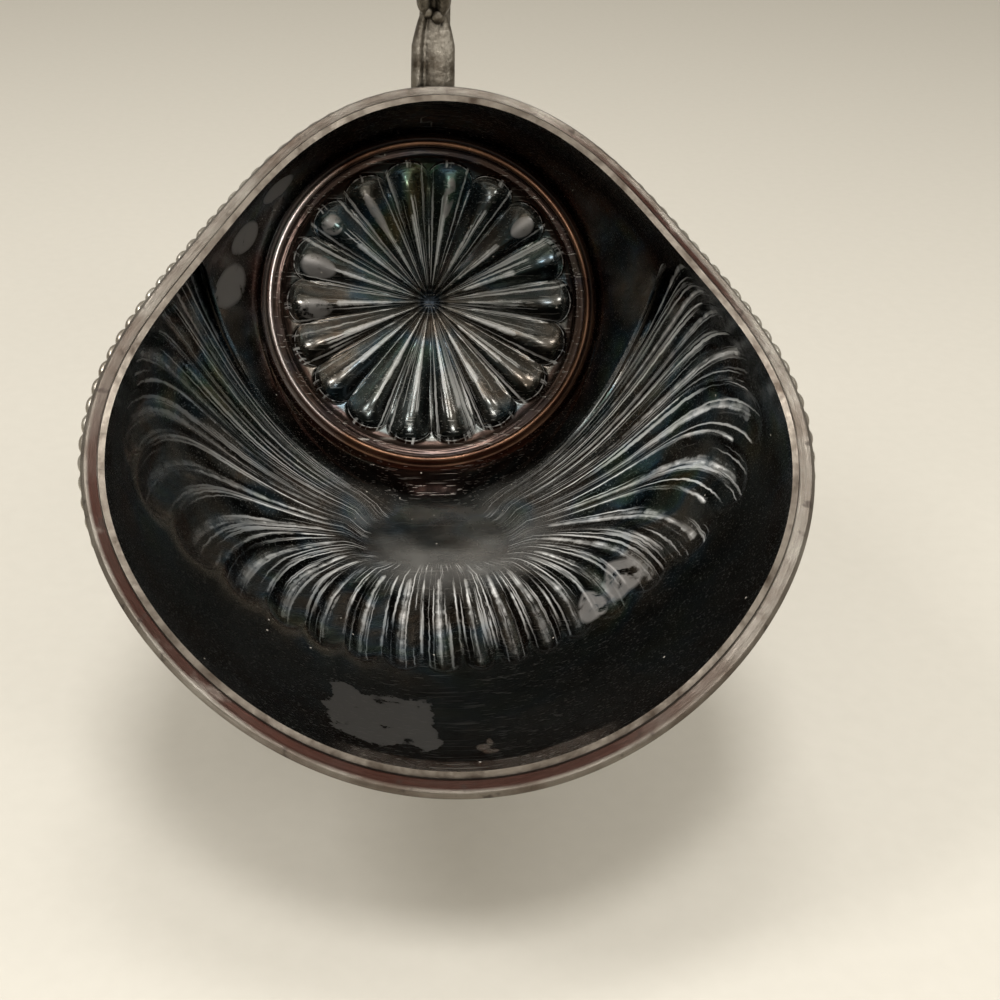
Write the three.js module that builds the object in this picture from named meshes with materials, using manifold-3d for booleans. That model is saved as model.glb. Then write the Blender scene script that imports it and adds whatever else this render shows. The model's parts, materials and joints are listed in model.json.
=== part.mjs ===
// A silver-plated sugar scuttle: a half-fluted bowl like a coal scuttle, with a petalled back plate,
// a bevelled rim with a lobed border, a cast scroll handle and a spun foot.
// Millimetres. +X is the right side, the mouth faces -Y, +Z is up and the foot stands on Z = 0.
import * as THREE from "three";
import { mergeVertices } from "three/addons/utils/BufferGeometryUtils.js";
import Module from "manifold-3d";

// Body: its axis rises from the back ring to the mouth, and all its sections are worked out round that axis.
const AXIS_TILT = 30; // degrees between the axis and the level
const BACK_HEIGHT = 52; // centre of the back plate above the table
const BACK_TO_ORIGIN = 51.45; // the back plate's centre lies this far behind the middle of the part
const SHEET = 0.9; // thickness of the raised sheet
const JOINT_GAP = 0.3; // space that two neighbouring pieces keep

// Mouth: a rounded egg in a plane that leans back from the axis's square section.
const MOUTH_LEAN = 22;
const MOUTH_ALONG = 76.4;
const MOUTH_UP = -28.99;
const MOUTH_EGG = [51.68, 0, 2.58, -2.35, 1.61, -0.2]; // mean radius, then its waves round the mouth
const RIM_WIDTH = 3.4;
const RIM_HOLLOW = 0.12;
const BEVEL = 0.7;

// Wall: how its bent line leaves the back opening and reaches the mouth, at the bottom, the side and the top.
const BACK_TURN_RADIUS = [47.1, 41.4, 34.4];
const BACK_TURN_ALONG = [10.8, 20, 16];
const MOUTH_TURN_OUT = [-4.1, 2, 5];
const MOUTH_TURN_ALONG = [38.5, 28, 16];
const MOUTH_TURN_UP = [0, 4, 0];

// Back: the ring, and the plate let into it. Their places along the axis are counted from the back opening.
const RING_INNER = 30;
const RING_OUTER = 33.8;
const PLATE_RADIUS = RING_INNER + 0.3;
const BACK_OPENING = 32.1;
const RING_FLANGE = 0.3; // how far the wall starts in front of the ring's flange
const PLATE_FACE = -0.6;
const CUT_BLEND = 0.06; // share of the wall over which the sheet's edge turns square
const PETALS = 18;
const PETAL_TIP = 27;
const PETAL_DEPTH = 2.4;
const PETAL_ROUND = 0.06; // how much shorter a petal is at its edges
const PETAL_RISE = 0.78; // share of its length where its rounded end begins
const HUB_RADIUS = 3.2;

// Seat of the foot: a level round patch in the bottom of the bowl.
const SEAT_BACK = -36; // from the back plate's centre, along Y
const SEAT_LEVEL = -31.3;
const SEAT_FLAT = 11.4; // radius that is quite flat
const SEAT_BLEND = 16.5; // radius where the flat has run out
const SEAT_PLACE = [0.275, 0];

// Flutes, counted from the bottom line: 13 to each side up to the rim, a plain shoulder, then the rear ones.
const SIDE_FLUTES = 13;
const REAR_FLUTE = 14;
const LAST_FLUTE = 16;
const FLUTE_DEPTH = 0.17; // of a flute's width
const DEEPEST = 1.3;
const SCALLOP = 0.08; // how far a flute's rounded end runs past its edges
const FAN_SHIFT = 3; // degrees that the front flutes lean to the right, as on the photographed piece
// Every second flute's edge: where it starts, turns and ends, and where its line meets the rim.
// Each place is [u, phi]: u runs along the wall from the ring (0) to the rim (1), and phi is in degrees
// round from the bottom.
const FLUTE_STARTS = [
  [0.4, 0], [0.4, 11], [0.385, 19], [0.335, 24], [0.275, 23], [0.21, 21], [0.17, 17], [0.145, 11],
];
const FLUTE_TURNS = [
  [0.52, 0], [0.5, 15], [0.49, 31], [0.47, 50], [0.41, 82], [0.2, 92], [0.03, 100], [-0.05, 120],
];
const FLUTE_TIPS = [
  [0.68, 0], [0.68, 14.5], [0.68, 29], [0.7, 48], [0.79, 76], [0.87, 106], [0.9, 119], [0.9, 129],
];
const RIM_PLACES = [[1, 0], [1, 15], [1, 30.5], [1, 51], [1, 81], [1, 109], [1, 122], [1, 133]];
const REAR_STARTS = [[0.145, 10], [0.14, 5], [0.138, 0]];
const REAR_TURNS = [[0.07, 42], [0.07, 20], [0.07, 0]];
const REAR_TIPS = [[0.03, 76], [0.03, 37], [0.03, 0]];
const SHOULDER_TURNS = [[-0.02, 112], [0, 116], [0.01, 112], [0.05, 60]];

// Lobed borders.
const BORDER_LENGTH = 151; // of one side, from the lip to the top
const LOBE_PITCH = 2.7;
const BORDER_WIDTH = 2.4;
const LOBE_SHOWS = [0.8, 0.85, 0.25]; // how far a lobe stands past the rim, at the bottom, the side and the top
const LOBE_HOLLOW = 0.6; // how much lower the border is between two lobes

// Handle. Places are [Y, Z] from the back plate's centre. Its upright plane is turned by about 3 degrees,
// as on the photographed piece: the front end stands left of the middle and the rear end right of it.
const HANDLE_FRONT = -26; // where its front end is, along Y
const HANDLE_LEFT = 1; // how far left that end stands
const HANDLE_TURN = 0.05; // shift to the right for each millimetre further back
const HANDLE_LINE = [
  [-26.2, 59.4], [-27.4, 66], [-23.5, 75.5], [-13.5, 82.5], [-1, 83.2], [10, 77.5], [16.6, 67], [16.8, 55],
  [13.2, 45.6],
];
const FRONT_LEAF_LINE = [[-28.4, 43.5], [-28.4, 48.5], [-27, 53.2], [-26, 56.2]];
const REAR_LEAF_LINE = [[8.9, 31.4], [9.6, 35.6], [10.9, 39], [12.1, 42.2]];
const LEAF_WIDTHS = [7, 6.8, 6.2, 4.2];
const LEAF_DEPTHS = [4.6, 3.8, 3, 2.6];
const LEAF_GROOVE = 0.9;
const HANDLE_WIDTH = 5.6;
const HANDLE_DEPTH = 4;
const HANDLE_GROOVE = 1.5;
const NECK_SHARE = 0.72; // of the handle's section at its two ends
const NECK_RUN = 0.1; // share of its length over which it grows to the full section
const FRONT_BEADS = [-25.9, 57.9];
const REAR_BEADS = [12.7, 43.9];
const BEAD_RADIUS = 1.3;
const BEAD_SPREAD = 0.95;

// Foot.
const FOOT_RADIUS = 30;
const COLLAR_TOP = BACK_HEIGHT + SEAT_LEVEL - SHEET - JOINT_GAP;
const COLLAR_HEIGHT = 2.2;
const NECK_RADIUS = 8.6;
const FOOT_WALL = 1.2;
const WIRE_HEIGHT = 1.6;
const WIRE_WIDTH = 3.6;
const FOOT_BORDER_INSET = 3.2;
const FOOT_LOBES = 60;
const FOOT_LOBE_REACH = [2.1, 2.7]; // in the valleys and on the lobes

const RAD = Math.PI / 180;
const wasm = await Module();
wasm.setup();

const SILVER = { color: 0xb9b4a8, roughness: 0.3, metalness: 1 };
const TARNISHED = { color: 0x2d2926, roughness: 0.25, metalness: 1 };
const CAST = { color: 0x8f8b84, roughness: 0.4, metalness: 1 };

// Turns a place by the body's axis (across, up, along) into the part's own frame.
function fromAxis(x, up, along) {
  const c = Math.cos(AXIS_TILT * RAD);
  const s = Math.sin(AXIS_TILT * RAD);
  return new THREE.Vector3(x, up * s - along * c + BACK_TO_ORIGIN, up * c + along * s + BACK_HEIGHT);
}

// A place in the handle's plane, or beside it.
function inHandle(y, z, beside = 0) {
  const x = HANDLE_TURN * (y - HANDLE_FRONT) - HANDLE_LEFT + beside;
  return new THREE.Vector3(x, y + BACK_TO_ORIGIN, z + BACK_HEIGHT);
}

// Mixes a bottom, side and top value by the angle round the body.
function around(phi, bottom, side, top) {
  const c = Math.cos(phi);
  return (c > 0 ? bottom : top) * c * c + side * Math.sin(phi) ** 2;
}

// A place in the mouth's plane: phi round from the lip, inset inwards from the rim's outer edge.
function rimPlace(phi, inset, behind = 0) {
  let radius = -inset;
  MOUTH_EGG.forEach((size, wave) => {
    radius += size * Math.cos(wave * phi);
  });
  const lean = MOUTH_LEAN * RAD;
  const up = -radius * Math.cos(phi);
  return new THREE.Vector3(
    radius * Math.sin(phi),
    MOUTH_UP + up * Math.cos(lean) - behind * Math.sin(lean),
    MOUTH_ALONG - up * Math.sin(lean) - behind * Math.cos(lean),
  );
}

// The plain inner wall by the axis: one bent line from the back opening to the mouth for each angle phi.
function axisWall(u, phi) {
  const out = new THREE.Vector3(Math.sin(phi), -Math.cos(phi), 0);
  const back = out.clone().multiplyScalar(BACK_OPENING).setZ(RING_FLANGE);
  const backTurn = out.clone().multiplyScalar(around(phi, ...BACK_TURN_RADIUS));
  backTurn.z = around(phi, ...BACK_TURN_ALONG);
  const mouth = rimPlace(phi, RIM_WIDTH);
  const mouthTurn = mouth.clone().addScaledVector(out, around(phi, ...MOUTH_TURN_OUT));
  mouthTurn.y += around(phi, ...MOUTH_TURN_UP);
  mouthTurn.z -= around(phi, ...MOUTH_TURN_ALONG);
  return new THREE.CubicBezierCurve3(back, backTurn, mouthTurn, mouth).getPoint(u);
}

// The inner wall in the part's frame, with the seat pressed level.
function wall(u, phi) {
  const p = axisWall(u, phi);
  const q = fromAxis(p.x, p.y, p.z);
  const reach = Math.hypot(q.x, q.y - BACK_TO_ORIGIN - SEAT_BACK);
  if (q.z < BACK_HEIGHT) {
    const flat = 1 - THREE.MathUtils.smoothstep(reach, SEAT_FLAT, SEAT_BLEND);
    q.z += (BACK_HEIGHT + SEAT_LEVEL - q.z) * flat;
  }
  return q;
}

// The wall's outward direction.
function wallNormal(u, phi) {
  const d = 0.004;
  const along = wall(Math.min(u + d, 1), phi).sub(wall(Math.max(u - d, 0), phi));
  const round = wall(u, phi + d).sub(wall(u, phi - d));
  return round.cross(along).normalize();
}

// A place on the outer face: distance back from the rim, and height above the sheet.
function outsideRim(phi, distance, height) {
  const slope = wall(1, phi).distanceTo(wall(0.99, phi)) / 0.01;
  const u = 1 - distance / slope;
  return wall(u, phi).addScaledVector(wallNormal(u, phi), SHEET + height);
}

// Reads a list that holds every second flute's place, mirrored at the bottom line.
function flutePlace(list, flute) {
  const side = Math.abs(flute);
  const points = [[list[1][0], -list[1][1]], ...list].map((p) => new THREE.Vector2(...p));
  const p = new THREE.SplineCurve(points).getPoint((side / 2 + 1) / (points.length - 1));
  const shift = FAN_SHIFT * Math.max(0, 1 - side / 8) ** 2;
  return [p.x, (Math.sign(flute) || 1) * p.y + shift];
}

function bend(a, b, c, t) {
  return a.map((value, i) => value * (1 - t) ** 2 + 2 * b[i] * t * (1 - t) + c[i] * t * t);
}

function mix(a, b, t) {
  return a.map((value, i) => value + (b[i] - value) * t);
}

// One ray from the middle of the seat to the wall's edge. Its stages run 0 to 1 over the seat,
// 1 to 2 along the flute and 2 to 3 over the plain sheet.
function ray(start, turn, tip, edge, sign) {
  return (stage) => {
    let place = bend(start, turn, tip, Math.min(Math.max(stage - 1, 0), 1));
    if (stage < 1) place = mix(SEAT_PLACE, start, stage);
    if (stage > 2) place = mix(tip, edge, stage - 2);
    return [place[0], place[1] * sign * RAD];
  };
}

function fluteRay(flute) {
  const lists = [FLUTE_STARTS, FLUTE_TURNS, FLUTE_TIPS, RIM_PLACES];
  return ray(...lists.map((list) => flutePlace(list, flute)), 1);
}

function rearRay(flute, sign) {
  const first = Math.floor(flute) - REAR_FLUTE;
  const read = (list) => mix(list[first], list[Math.min(first + 1, list.length - 1)], flute % 1);
  const tip = read(REAR_TIPS);
  return ray(read(REAR_STARTS), read(REAR_TURNS), tip, [0, tip[1]], sign);
}

// The plain shoulder's rays end on the rim, then along the top line, then on the ring.
function shoulderRay(edge, share, sign) {
  const start = mix(flutePlace(FLUTE_STARTS, SIDE_FLUTES), REAR_STARTS[0], share);
  const knee = share * 3;
  const turn = mix(SHOULDER_TURNS[Math.floor(knee)], SHOULDER_TURNS[Math.ceil(knee)], knee % 1);
  return (stage) => {
    const t = stage < 2 ? (stage - 1) * 0.6 : 0.6 + (stage - 2) * 0.4;
    const place = stage < 1 ? mix(SEAT_PLACE, start, stage) : bend(start, turn, edge, t);
    return [Math.max(place[0], 0), place[1] * sign * RAD];
  };
}

// The edge places of one side's plain shoulder, from the last rim flute to the first rear flute.
function shoulderEdges(perRim, perTop, perRing) {
  const first = flutePlace(RIM_PLACES, SIDE_FLUTES);
  const last = [0, REAR_TIPS[0][1]];
  const corners = [first, [1, 180], [0, 180], last];
  const edges = [];
  [perRim, perTop, perRing].forEach((count, side) => {
    for (let i = side ? 0 : 1; i < count; i++) edges.push(mix(corners[side], corners[side + 1], i / count));
  });
  return edges;
}

// All rays in order round the seat. Each holds its place across its flute from -1 to 1, if it is on one.
function seatRays(perFlute, shoulder) {
  const rays = [];
  const edges = shoulderEdges(...shoulder);
  const across = (flute) => 2 * (flute - Math.floor(flute)) - 1;
  for (let i = -SIDE_FLUTES * perFlute; i <= SIDE_FLUTES * perFlute; i++) {
    rays.push({ flute: i / perFlute, at: fluteRay(i / perFlute), across: across(i / perFlute) });
  }
  edges.forEach((edge, i) => rays.push({ at: shoulderRay(edge, (i + 1) / (edges.length + 1), 1) }));
  for (let i = REAR_FLUTE * perFlute; i <= LAST_FLUTE * perFlute; i++) {
    rays.push({ flute: i / perFlute, at: rearRay(i / perFlute, 1), across: across(i / perFlute) });
  }
  for (let i = LAST_FLUTE * perFlute - 1; i >= REAR_FLUTE * perFlute; i--) {
    rays.push({ flute: i / perFlute, at: rearRay(i / perFlute, -1), across: across(i / perFlute) });
  }
  edges.reverse().forEach((edge, i) => {
    rays.push({ at: shoulderRay(edge, 1 - (i + 1) / (edges.length + 1), -1) });
  });
  return rays;
}

// How strongly a flute is pressed in at a stage: it rises from the seat and ends in a round tip.
function fluteStrength(stage, isRear) {
  if (stage <= 1 || stage >= 2) return 0;
  const rise = THREE.MathUtils.smoothstep(stage, 1, 1.3);
  const end = isRear ? 1.5 : 1.78;
  const past = Math.max(0, (stage - end) / (2 - end));
  return rise * Math.sqrt(1 - past * past);
}

// The body's sheet as one closed skin: inner wall, outer wall and the two cut edges.
function makeBody(perFlute, shoulder, stages, inside = 0, thickness = SHEET, fluted = true) {
  const rays = seatRays(perFlute, shoulder);
  const positions = [];
  const put = (c, stage) => {
    const line = rays[c];
    const isRear = line.flute >= REAR_FLUTE;
    const pull = stage > 1.5 && stage < 2.5 ? 1 - Math.abs(stage - 2) * 2 : 0;
    const edge = line.across === undefined ? 0 : line.across ** 2;
    const [u, phi] = line.at(stage - (isRear ? 0 : SCALLOP * edge * pull));
    const normal = wallNormal(u, phi);
    let depth = 0;
    if (fluted && line.across !== undefined) {
      const width = wall(...rays[(c + 1) % rays.length].at(stage)).distanceTo(wall(u, phi)) * perFlute;
      depth = Math.min(FLUTE_DEPTH * width, DEEPEST) * (1 - edge) * fluteStrength(stage, isRear);
    }
    // The sheet's edge at the back opening is cut square to the axis, flush with the ring.
    const out = fromAxis(Math.sin(phi), -Math.cos(phi), 0).sub(fromAxis(0, 0, 0));
    const square = Math.max(0, 1 - u / CUT_BLEND);
    const offsetWay = normal.clone().lerp(out.divideScalar(out.dot(normal)), square);
    return [inside, thickness].map((offset) => wall(u, phi).addScaledVector(offsetWay, depth + offset));
  };
  const middle = put(0, 0);
  positions.push(middle[0], middle[1]);
  stages.forEach((stage) => rays.forEach((line, c) => positions.push(...put(c, stage))));
  const inner = (r, c) => 2 + 2 * (r * rays.length + (c % rays.length));
  const triangles = [];
  rays.forEach((line, c) => {
    triangles.push(0, inner(0, c), inner(0, c + 1));
    triangles.push(1, inner(0, c + 1) + 1, inner(0, c) + 1);
    for (let r = 0; r < stages.length - 1; r++) {
      const [a, b, d, e] = [inner(r, c), inner(r, c + 1), inner(r + 1, c), inner(r + 1, c + 1)];
      triangles.push(a, d, b, b, d, e);
      triangles.push(a + 1, b + 1, d + 1, b + 1, e + 1, d + 1);
    }
    // Along the top line the two sides meet, so the sheet has no cut edge there.
    const [a, b] = [inner(stages.length - 1, c), inner(stages.length - 1, c + 1)];
    const isAtTop = (k) => Math.abs(positions[k].x) < 1e-6 && positions[k].z > BACK_HEIGHT;
    if (!isAtTop(a) || !isAtTop(b)) triangles.push(a, a + 1, b, b, a + 1, b + 1);
  });
  return closedGeometry(positions, triangles);
}

// Makes a geometry whose faces point out, whichever way round the triangles were listed.
function closedGeometry(points, triangles) {
  const geometry = new THREE.BufferGeometry();
  geometry.setAttribute("position", new THREE.Float32BufferAttribute(points.flatMap((p) => p.toArray()), 3));
  let volume = 0;
  for (let i = 0; i < triangles.length; i += 3) {
    const [a, b, c] = triangles.slice(i, i + 3).map((k) => points[k]);
    volume += a.dot(b.clone().cross(c));
  }
  geometry.setIndex(volume < 0 ? triangles.slice().reverse() : triangles);
  const merged = mergeVertices(geometry, 1e-4);
  merged.computeVertexNormals();
  return merged;
}

// Skins a row of like outlines. A closed row joins its last outline to its first, an open one gets end faces.
function skin(rows, closed) {
  const size = rows[0].length;
  const points = rows.flat();
  const triangles = [];
  const last = closed ? rows.length : rows.length - 1;
  for (let r = 0; r < last; r++) {
    for (let c = 0; c < size; c++) {
      const [a, b] = [r * size + c, r * size + ((c + 1) % size)];
      const [d, e] = [a, b].map((k) => (k + size) % points.length);
      triangles.push(a, b, d, b, e, d);
    }
  }
  if (!closed) {
    [0, rows.length - 1].forEach((r) => {
      const middle = rows[r].reduce((sum, p) => sum.add(p), new THREE.Vector3()).divideScalar(size);
      points.push(middle);
      for (let c = 0; c < size; c++) {
        const pair = [r * size + c, r * size + ((c + 1) % size)];
        triangles.push(points.length - 1, ...(r ? pair : pair.reverse()));
      }
    });
  }
  return closedGeometry(points, triangles);
}

function toManifold(geometry) {
  const plain = geometry.clone();
  plain.deleteAttribute("normal");
  plain.deleteAttribute("uv");
  const merged = mergeVertices(plain, 1e-4);
  return new wasm.Manifold(new wasm.Mesh({
    numProp: 3,
    vertProperties: merged.attributes.position.array,
    triVerts: new Uint32Array(merged.index.array),
  }));
}

function fromManifold(solid) {
  const mesh = solid.getMesh();
  const geometry = new THREE.BufferGeometry();
  geometry.setAttribute("position", new THREE.BufferAttribute(mesh.vertProperties, 3));
  geometry.setIndex(new THREE.BufferAttribute(mesh.triVerts, 1));
  geometry.computeVertexNormals();
  return geometry;
}

// How far behind the sheet's edge the mount reaches: more at the top, where the rim leans over the wall.
function mountReach(phi) {
  const edge = outsideRim(phi, 0, 0);
  const outer = rimPlace(phi, 0);
  const along = wall(1, phi).sub(wall(0.99, phi)).normalize();
  const lag = edge.sub(fromAxis(outer.x, outer.y, outer.z)).dot(along);
  return 1.6 + Math.max(0, lag - 0.2) * 0.95;
}

// Height above the sheet of a lobe's top, which stands just past the rim's outer edge.
function lobeHeight(phi, distance) {
  const outer = rimPlace(phi, 0, BEVEL);
  const edge = fromAxis(outer.x, outer.y, outer.z);
  const foot = outsideRim(phi, distance, 0);
  const up = outsideRim(phi, distance, 1).sub(foot);
  return edge.sub(foot).dot(up) + around(phi, ...LOBE_SHOWS);
}

// The flat rim soldered round the sheet's edge: a hollowed face, a bevel, and a back that hugs the wall.
function makeMouthMount(steps) {
  const rows = [];
  for (let i = 0; i < steps; i++) {
    const phi = (2 * Math.PI * i) / steps;
    const onFace = (inset, behind) => fromAxis(...rimPlace(phi, inset, behind).toArray());
    const reach = mountReach(phi);
    rows.push([
      outsideRim(phi, 0.05, JOINT_GAP),
      onFace(RIM_WIDTH * 0.45, RIM_HOLLOW),
      onFace(RIM_WIDTH * 0.2, 0),
      onFace(0, BEVEL),
      outsideRim(phi, reach, 1.1),
      outsideRim(phi, reach, JOINT_GAP),
    ]);
  }
  return skin(rows, true);
}

// One length of the lobed border, from the lip up one side to the top.
function makeBorder(sign, perLobe) {
  const lobes = Math.round(BORDER_LENGTH / LOBE_PITCH);
  const gap = 0.4 / MOUTH_EGG[0]; // half the space between the two lengths, as an angle
  const rows = [];
  for (let i = 0; i <= lobes * perLobe; i++) {
    const phi = sign * THREE.MathUtils.lerp(gap, Math.PI - gap, i / (lobes * perLobe));
    const swell = 0.5 - 0.5 * Math.cos((2 * Math.PI * i) / perLobe);
    const near = mountReach(phi) + JOINT_GAP;
    const height = lobeHeight(phi, near + BORDER_WIDTH * 0.45) - LOBE_HOLLOW * (1 - swell);
    rows.push([
      outsideRim(phi, near, JOINT_GAP),
      outsideRim(phi, near + 0.15, height * 0.75),
      outsideRim(phi, near + BORDER_WIDTH * 0.45, height),
      outsideRim(phi, near + BORDER_WIDTH * 0.9, height * 0.7),
      outsideRim(phi, near + BORDER_WIDTH, JOINT_GAP),
    ]);
  }
  return skin(rows, false);
}

// Turns a lathe profile of [radius, height] points about an upright axis, closed on itself.
function lathe(profile, segments) {
  const points = profile.map((p) => new THREE.Vector2(...p));
  if (THREE.ShapeUtils.isClockWise(points)) points.reverse();
  const loop = [...points, points[0]];
  const geometry = new THREE.LatheGeometry(loop, segments);
  geometry.rotateX(Math.PI / 2);
  return geometry;
}

// The ring moulding: a lip that shows inside, a rabbet for the plate and a round outside.
function makeBackRing() {
  return lathe([
    [RING_INNER, -0.3], [RING_INNER, 0.8], [RING_INNER + 0.6, 1.25], [RING_INNER + 1.1, 0.9],
    [BACK_OPENING - 0.5, 0], [RING_OUTER - 0.5, -0.1], [RING_OUTER, -0.9], [RING_OUTER - 0.3, -1.8],
    [RING_OUTER - 1.2, -2.4], [RING_INNER + 0.6, -2.3], [RING_INNER + 0.6, -0.3],
  ], 48);
}

// Depth of the stamped rosette, outwards from the plate's face, at a radius and a place across the petal.
function petalDepth(radius, across) {
  const tip = PETAL_TIP * (1 - PETAL_ROUND * across * across);
  const share = (radius - HUB_RADIUS) / (tip - HUB_RADIUS);
  if (share <= 0 || share >= 1) return 0;
  const past = Math.max(0, (share - PETAL_RISE) / (1 - PETAL_RISE));
  return PETAL_DEPTH * (1 - across * across) * Math.sqrt(share) * Math.sqrt(1 - past * past);
}

function makeBackPlate(perPetal) {
  const shares = [HUB_RADIUS / PETAL_TIP, 0.4, PETAL_RISE, 0.93, 1];
  const columns = PETALS * perPetal;
  const place = (radius, turn, depth, offset) => (
    new THREE.Vector3(radius * Math.sin(turn), -radius * Math.cos(turn), PLATE_FACE - depth - offset)
  );
  const rows = [];
  const ring = (radiusAt, offset) => Array.from({ length: columns }, (_, c) => {
    const across = (2 * (c % perPetal)) / perPetal - 1;
    const radius = radiusAt(across);
    return place(radius, (2 * Math.PI * c) / columns, petalDepth(radius, across), offset);
  });
  const tipAt = (share) => (across) => PETAL_TIP * share * (1 - PETAL_ROUND * across * across * share ** 4);
  shares.forEach((share) => rows.push(ring(tipAt(share), 0)));
  rows.push(ring(() => PLATE_RADIUS - 0.3, 0), ring(() => PLATE_RADIUS - 0.3, SHEET));
  [...shares].reverse().forEach((share) => rows.push(ring(tipAt(share), SHEET)));
  return skin(rows, false);
}

// Smooth line through [Y, Z] places in the handle's plane.
function sideLine(places) {
  return new THREE.CatmullRomCurve3(places.map(([y, z]) => inHandle(y, z)), false, "centripetal");
}

// Sweeps an outline of [across, out] points along a line in the handle's plane.
// The outline can change along the way, and out points away from the handle's inside.
function sweep(line, steps, outlineAt) {
  const rows = [];
  for (let i = 0; i <= steps; i++) {
    const t = i / steps;
    const centre = line.getPoint(t);
    const tangent = line.getTangent(t);
    const out = new THREE.Vector3(0, -tangent.z, tangent.y);
    rows.push(outlineAt(t).map(([across, outwards]) => (
      centre.clone().addScaledVector(out, outwards).add(new THREE.Vector3(across, 0, 0))
    )));
  }
  return skin(rows, false);
}

// The handle's section: a rounded back and two rolled edges with a groove between them on the outer side.
function handleOutline(width, depth, groove) {
  const w = width / 2;
  const d = depth / 2;
  return [
    [-w * 0.55, -d], [0, -d * 1.1], [w * 0.55, -d], [w, -d * 0.2], [w, d * 0.55], [w * 0.75, d],
    [w * 0.42, d * 0.8], [0, d - groove], [-w * 0.42, d * 0.8], [-w * 0.75, d], [-w, d * 0.55], [-w, -d * 0.2],
  ];
}

function makeHandleLoop() {
  return sweep(sideLine(HANDLE_LINE), 36, (t) => {
    const full = THREE.MathUtils.lerp(NECK_SHARE, 1, Math.min(1, Math.min(t, 1 - t) / NECK_RUN));
    return handleOutline(HANDLE_WIDTH * full, HANDLE_DEPTH * full, HANDLE_GROOVE * full);
  });
}

// A cast leaf that carries one end of the handle, its foot cut to the body.
function makeLeaf(places, sheath) {
  const read = (list, t) => {
    const at = Math.min(t * 3, 2.999);
    return THREE.MathUtils.lerp(list[Math.floor(at)], list[Math.floor(at) + 1], at % 1);
  };
  const blade = sweep(sideLine(places), 9, (t) => (
    handleOutline(read(LEAF_WIDTHS, t), read(LEAF_DEPTHS, t), LEAF_GROOVE * (1 - t * 0.5))
  ));
  return fromManifold(toManifold(blade).subtract(sheath));
}

// Two small round beads, side by side in the notch between a leaf and the handle.
function makeBeadPair(y, z) {
  const ball = (x) => {
    const geometry = new THREE.SphereGeometry(BEAD_RADIUS, 10, 6);
    const place = inHandle(y, z, x);
    return toManifold(geometry.translate(place.x, place.y, place.z));
  };
  return fromManifold(ball(-BEAD_SPREAD).add(ball(BEAD_SPREAD)));
}

function makeCollar() {
  const low = COLLAR_TOP - COLLAR_HEIGHT;
  return lathe([
    [NECK_RADIUS, low], [SEAT_FLAT, low], [SEAT_FLAT + 0.8, low + 0.7], [SEAT_FLAT + 0.6, low + 1.6],
    [SEAT_FLAT - 0.6, COLLAR_TOP], [NECK_RADIUS, COLLAR_TOP],
  ], 36);
}

// The spun pedestal: a short neck that sweeps out to the foot, hollow and open below.
function makePedestal() {
  const top = COLLAR_TOP - COLLAR_HEIGHT - JOINT_GAP;
  const low = WIRE_HEIGHT + JOINT_GAP;
  const wide = FOOT_RADIUS - FOOT_BORDER_INSET;
  const outer = [
    [SEAT_FLAT - 0.6, top], [NECK_RADIUS + 1.2, top - 1.4], [NECK_RADIUS + 0.8, top - 3.4],
    [NECK_RADIUS + 2.4, top - 6.2], [NECK_RADIUS + 6.6, top - 8.8], [NECK_RADIUS + 11.6, top - 10.6],
    [wide - 2.6, low + 3.4], [wide - 0.5, low + 2.2], [wide, low],
  ];
  const inner = outer.map(([r, z], i) => {
    const isEnd = i === 0 || i === outer.length - 1;
    return [r - FOOT_WALL, isEnd ? z : z - FOOT_WALL * 0.7];
  });
  return lathe([...outer, ...inner.reverse()], 36);
}

function makeFootBorder() {
  const rows = [];
  const low = WIRE_HEIGHT + JOINT_GAP;
  const inner = FOOT_RADIUS - FOOT_BORDER_INSET + JOINT_GAP;
  for (let i = 0; i < FOOT_LOBES * 2; i++) {
    const turn = (Math.PI * i) / FOOT_LOBES;
    const reach = FOOT_LOBE_REACH[i % 2];
    const section = [[inner, low], [inner, low + 1.9], [inner + reach * 0.8, low + 1.6], [inner + reach, low]];
    rows.push(section.map(([r, z]) => new THREE.Vector3(r * Math.cos(turn), r * Math.sin(turn), z)));
  }
  return skin(rows, true);
}

function makeBaseWire() {
  return lathe([
    [FOOT_RADIUS - WIRE_WIDTH, 0], [FOOT_RADIUS - 0.3, 0], [FOOT_RADIUS, 0.4], [FOOT_RADIUS, WIRE_HEIGHT - 0.4],
    [FOOT_RADIUS - 0.3, WIRE_HEIGHT], [FOOT_RADIUS - WIRE_WIDTH, WIRE_HEIGHT],
  ], 48);
}

function addPiece(parent, name, geometry, finish) {
  const mesh = new THREE.Mesh(geometry, new THREE.MeshStandardMaterial(finish));
  mesh.name = name;
  parent.add(mesh);
  return mesh;
}

const scuttle = new THREE.Group();
const STAGES = [0.6, 1, 1.25, 1.6, 1.85, 1.96, 2, 2.35, 2.7, 3];
const SHOULDER_STEPS = [6, 6, 12]; // along the rim, the top line and the ring
addPiece(scuttle, "body", makeBody(4, SHOULDER_STEPS, STAGES), TARNISHED);

// The back ring and plate are turned about the body's axis.
const back = new THREE.Group();
back.position.set(0, BACK_TO_ORIGIN, BACK_HEIGHT);
back.rotation.x = (90 - AXIS_TILT) * RAD;
scuttle.add(back);
addPiece(back, "back_ring", makeBackRing(), SILVER);
addPiece(back, "back_plate", makeBackPlate(4), TARNISHED);

addPiece(scuttle, "mouth_mount", makeMouthMount(96), SILVER);
addPiece(scuttle, "gadroon_border_right", makeBorder(1, 2), SILVER);
addPiece(scuttle, "gadroon_border_left", makeBorder(-1, 2), SILVER);

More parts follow.
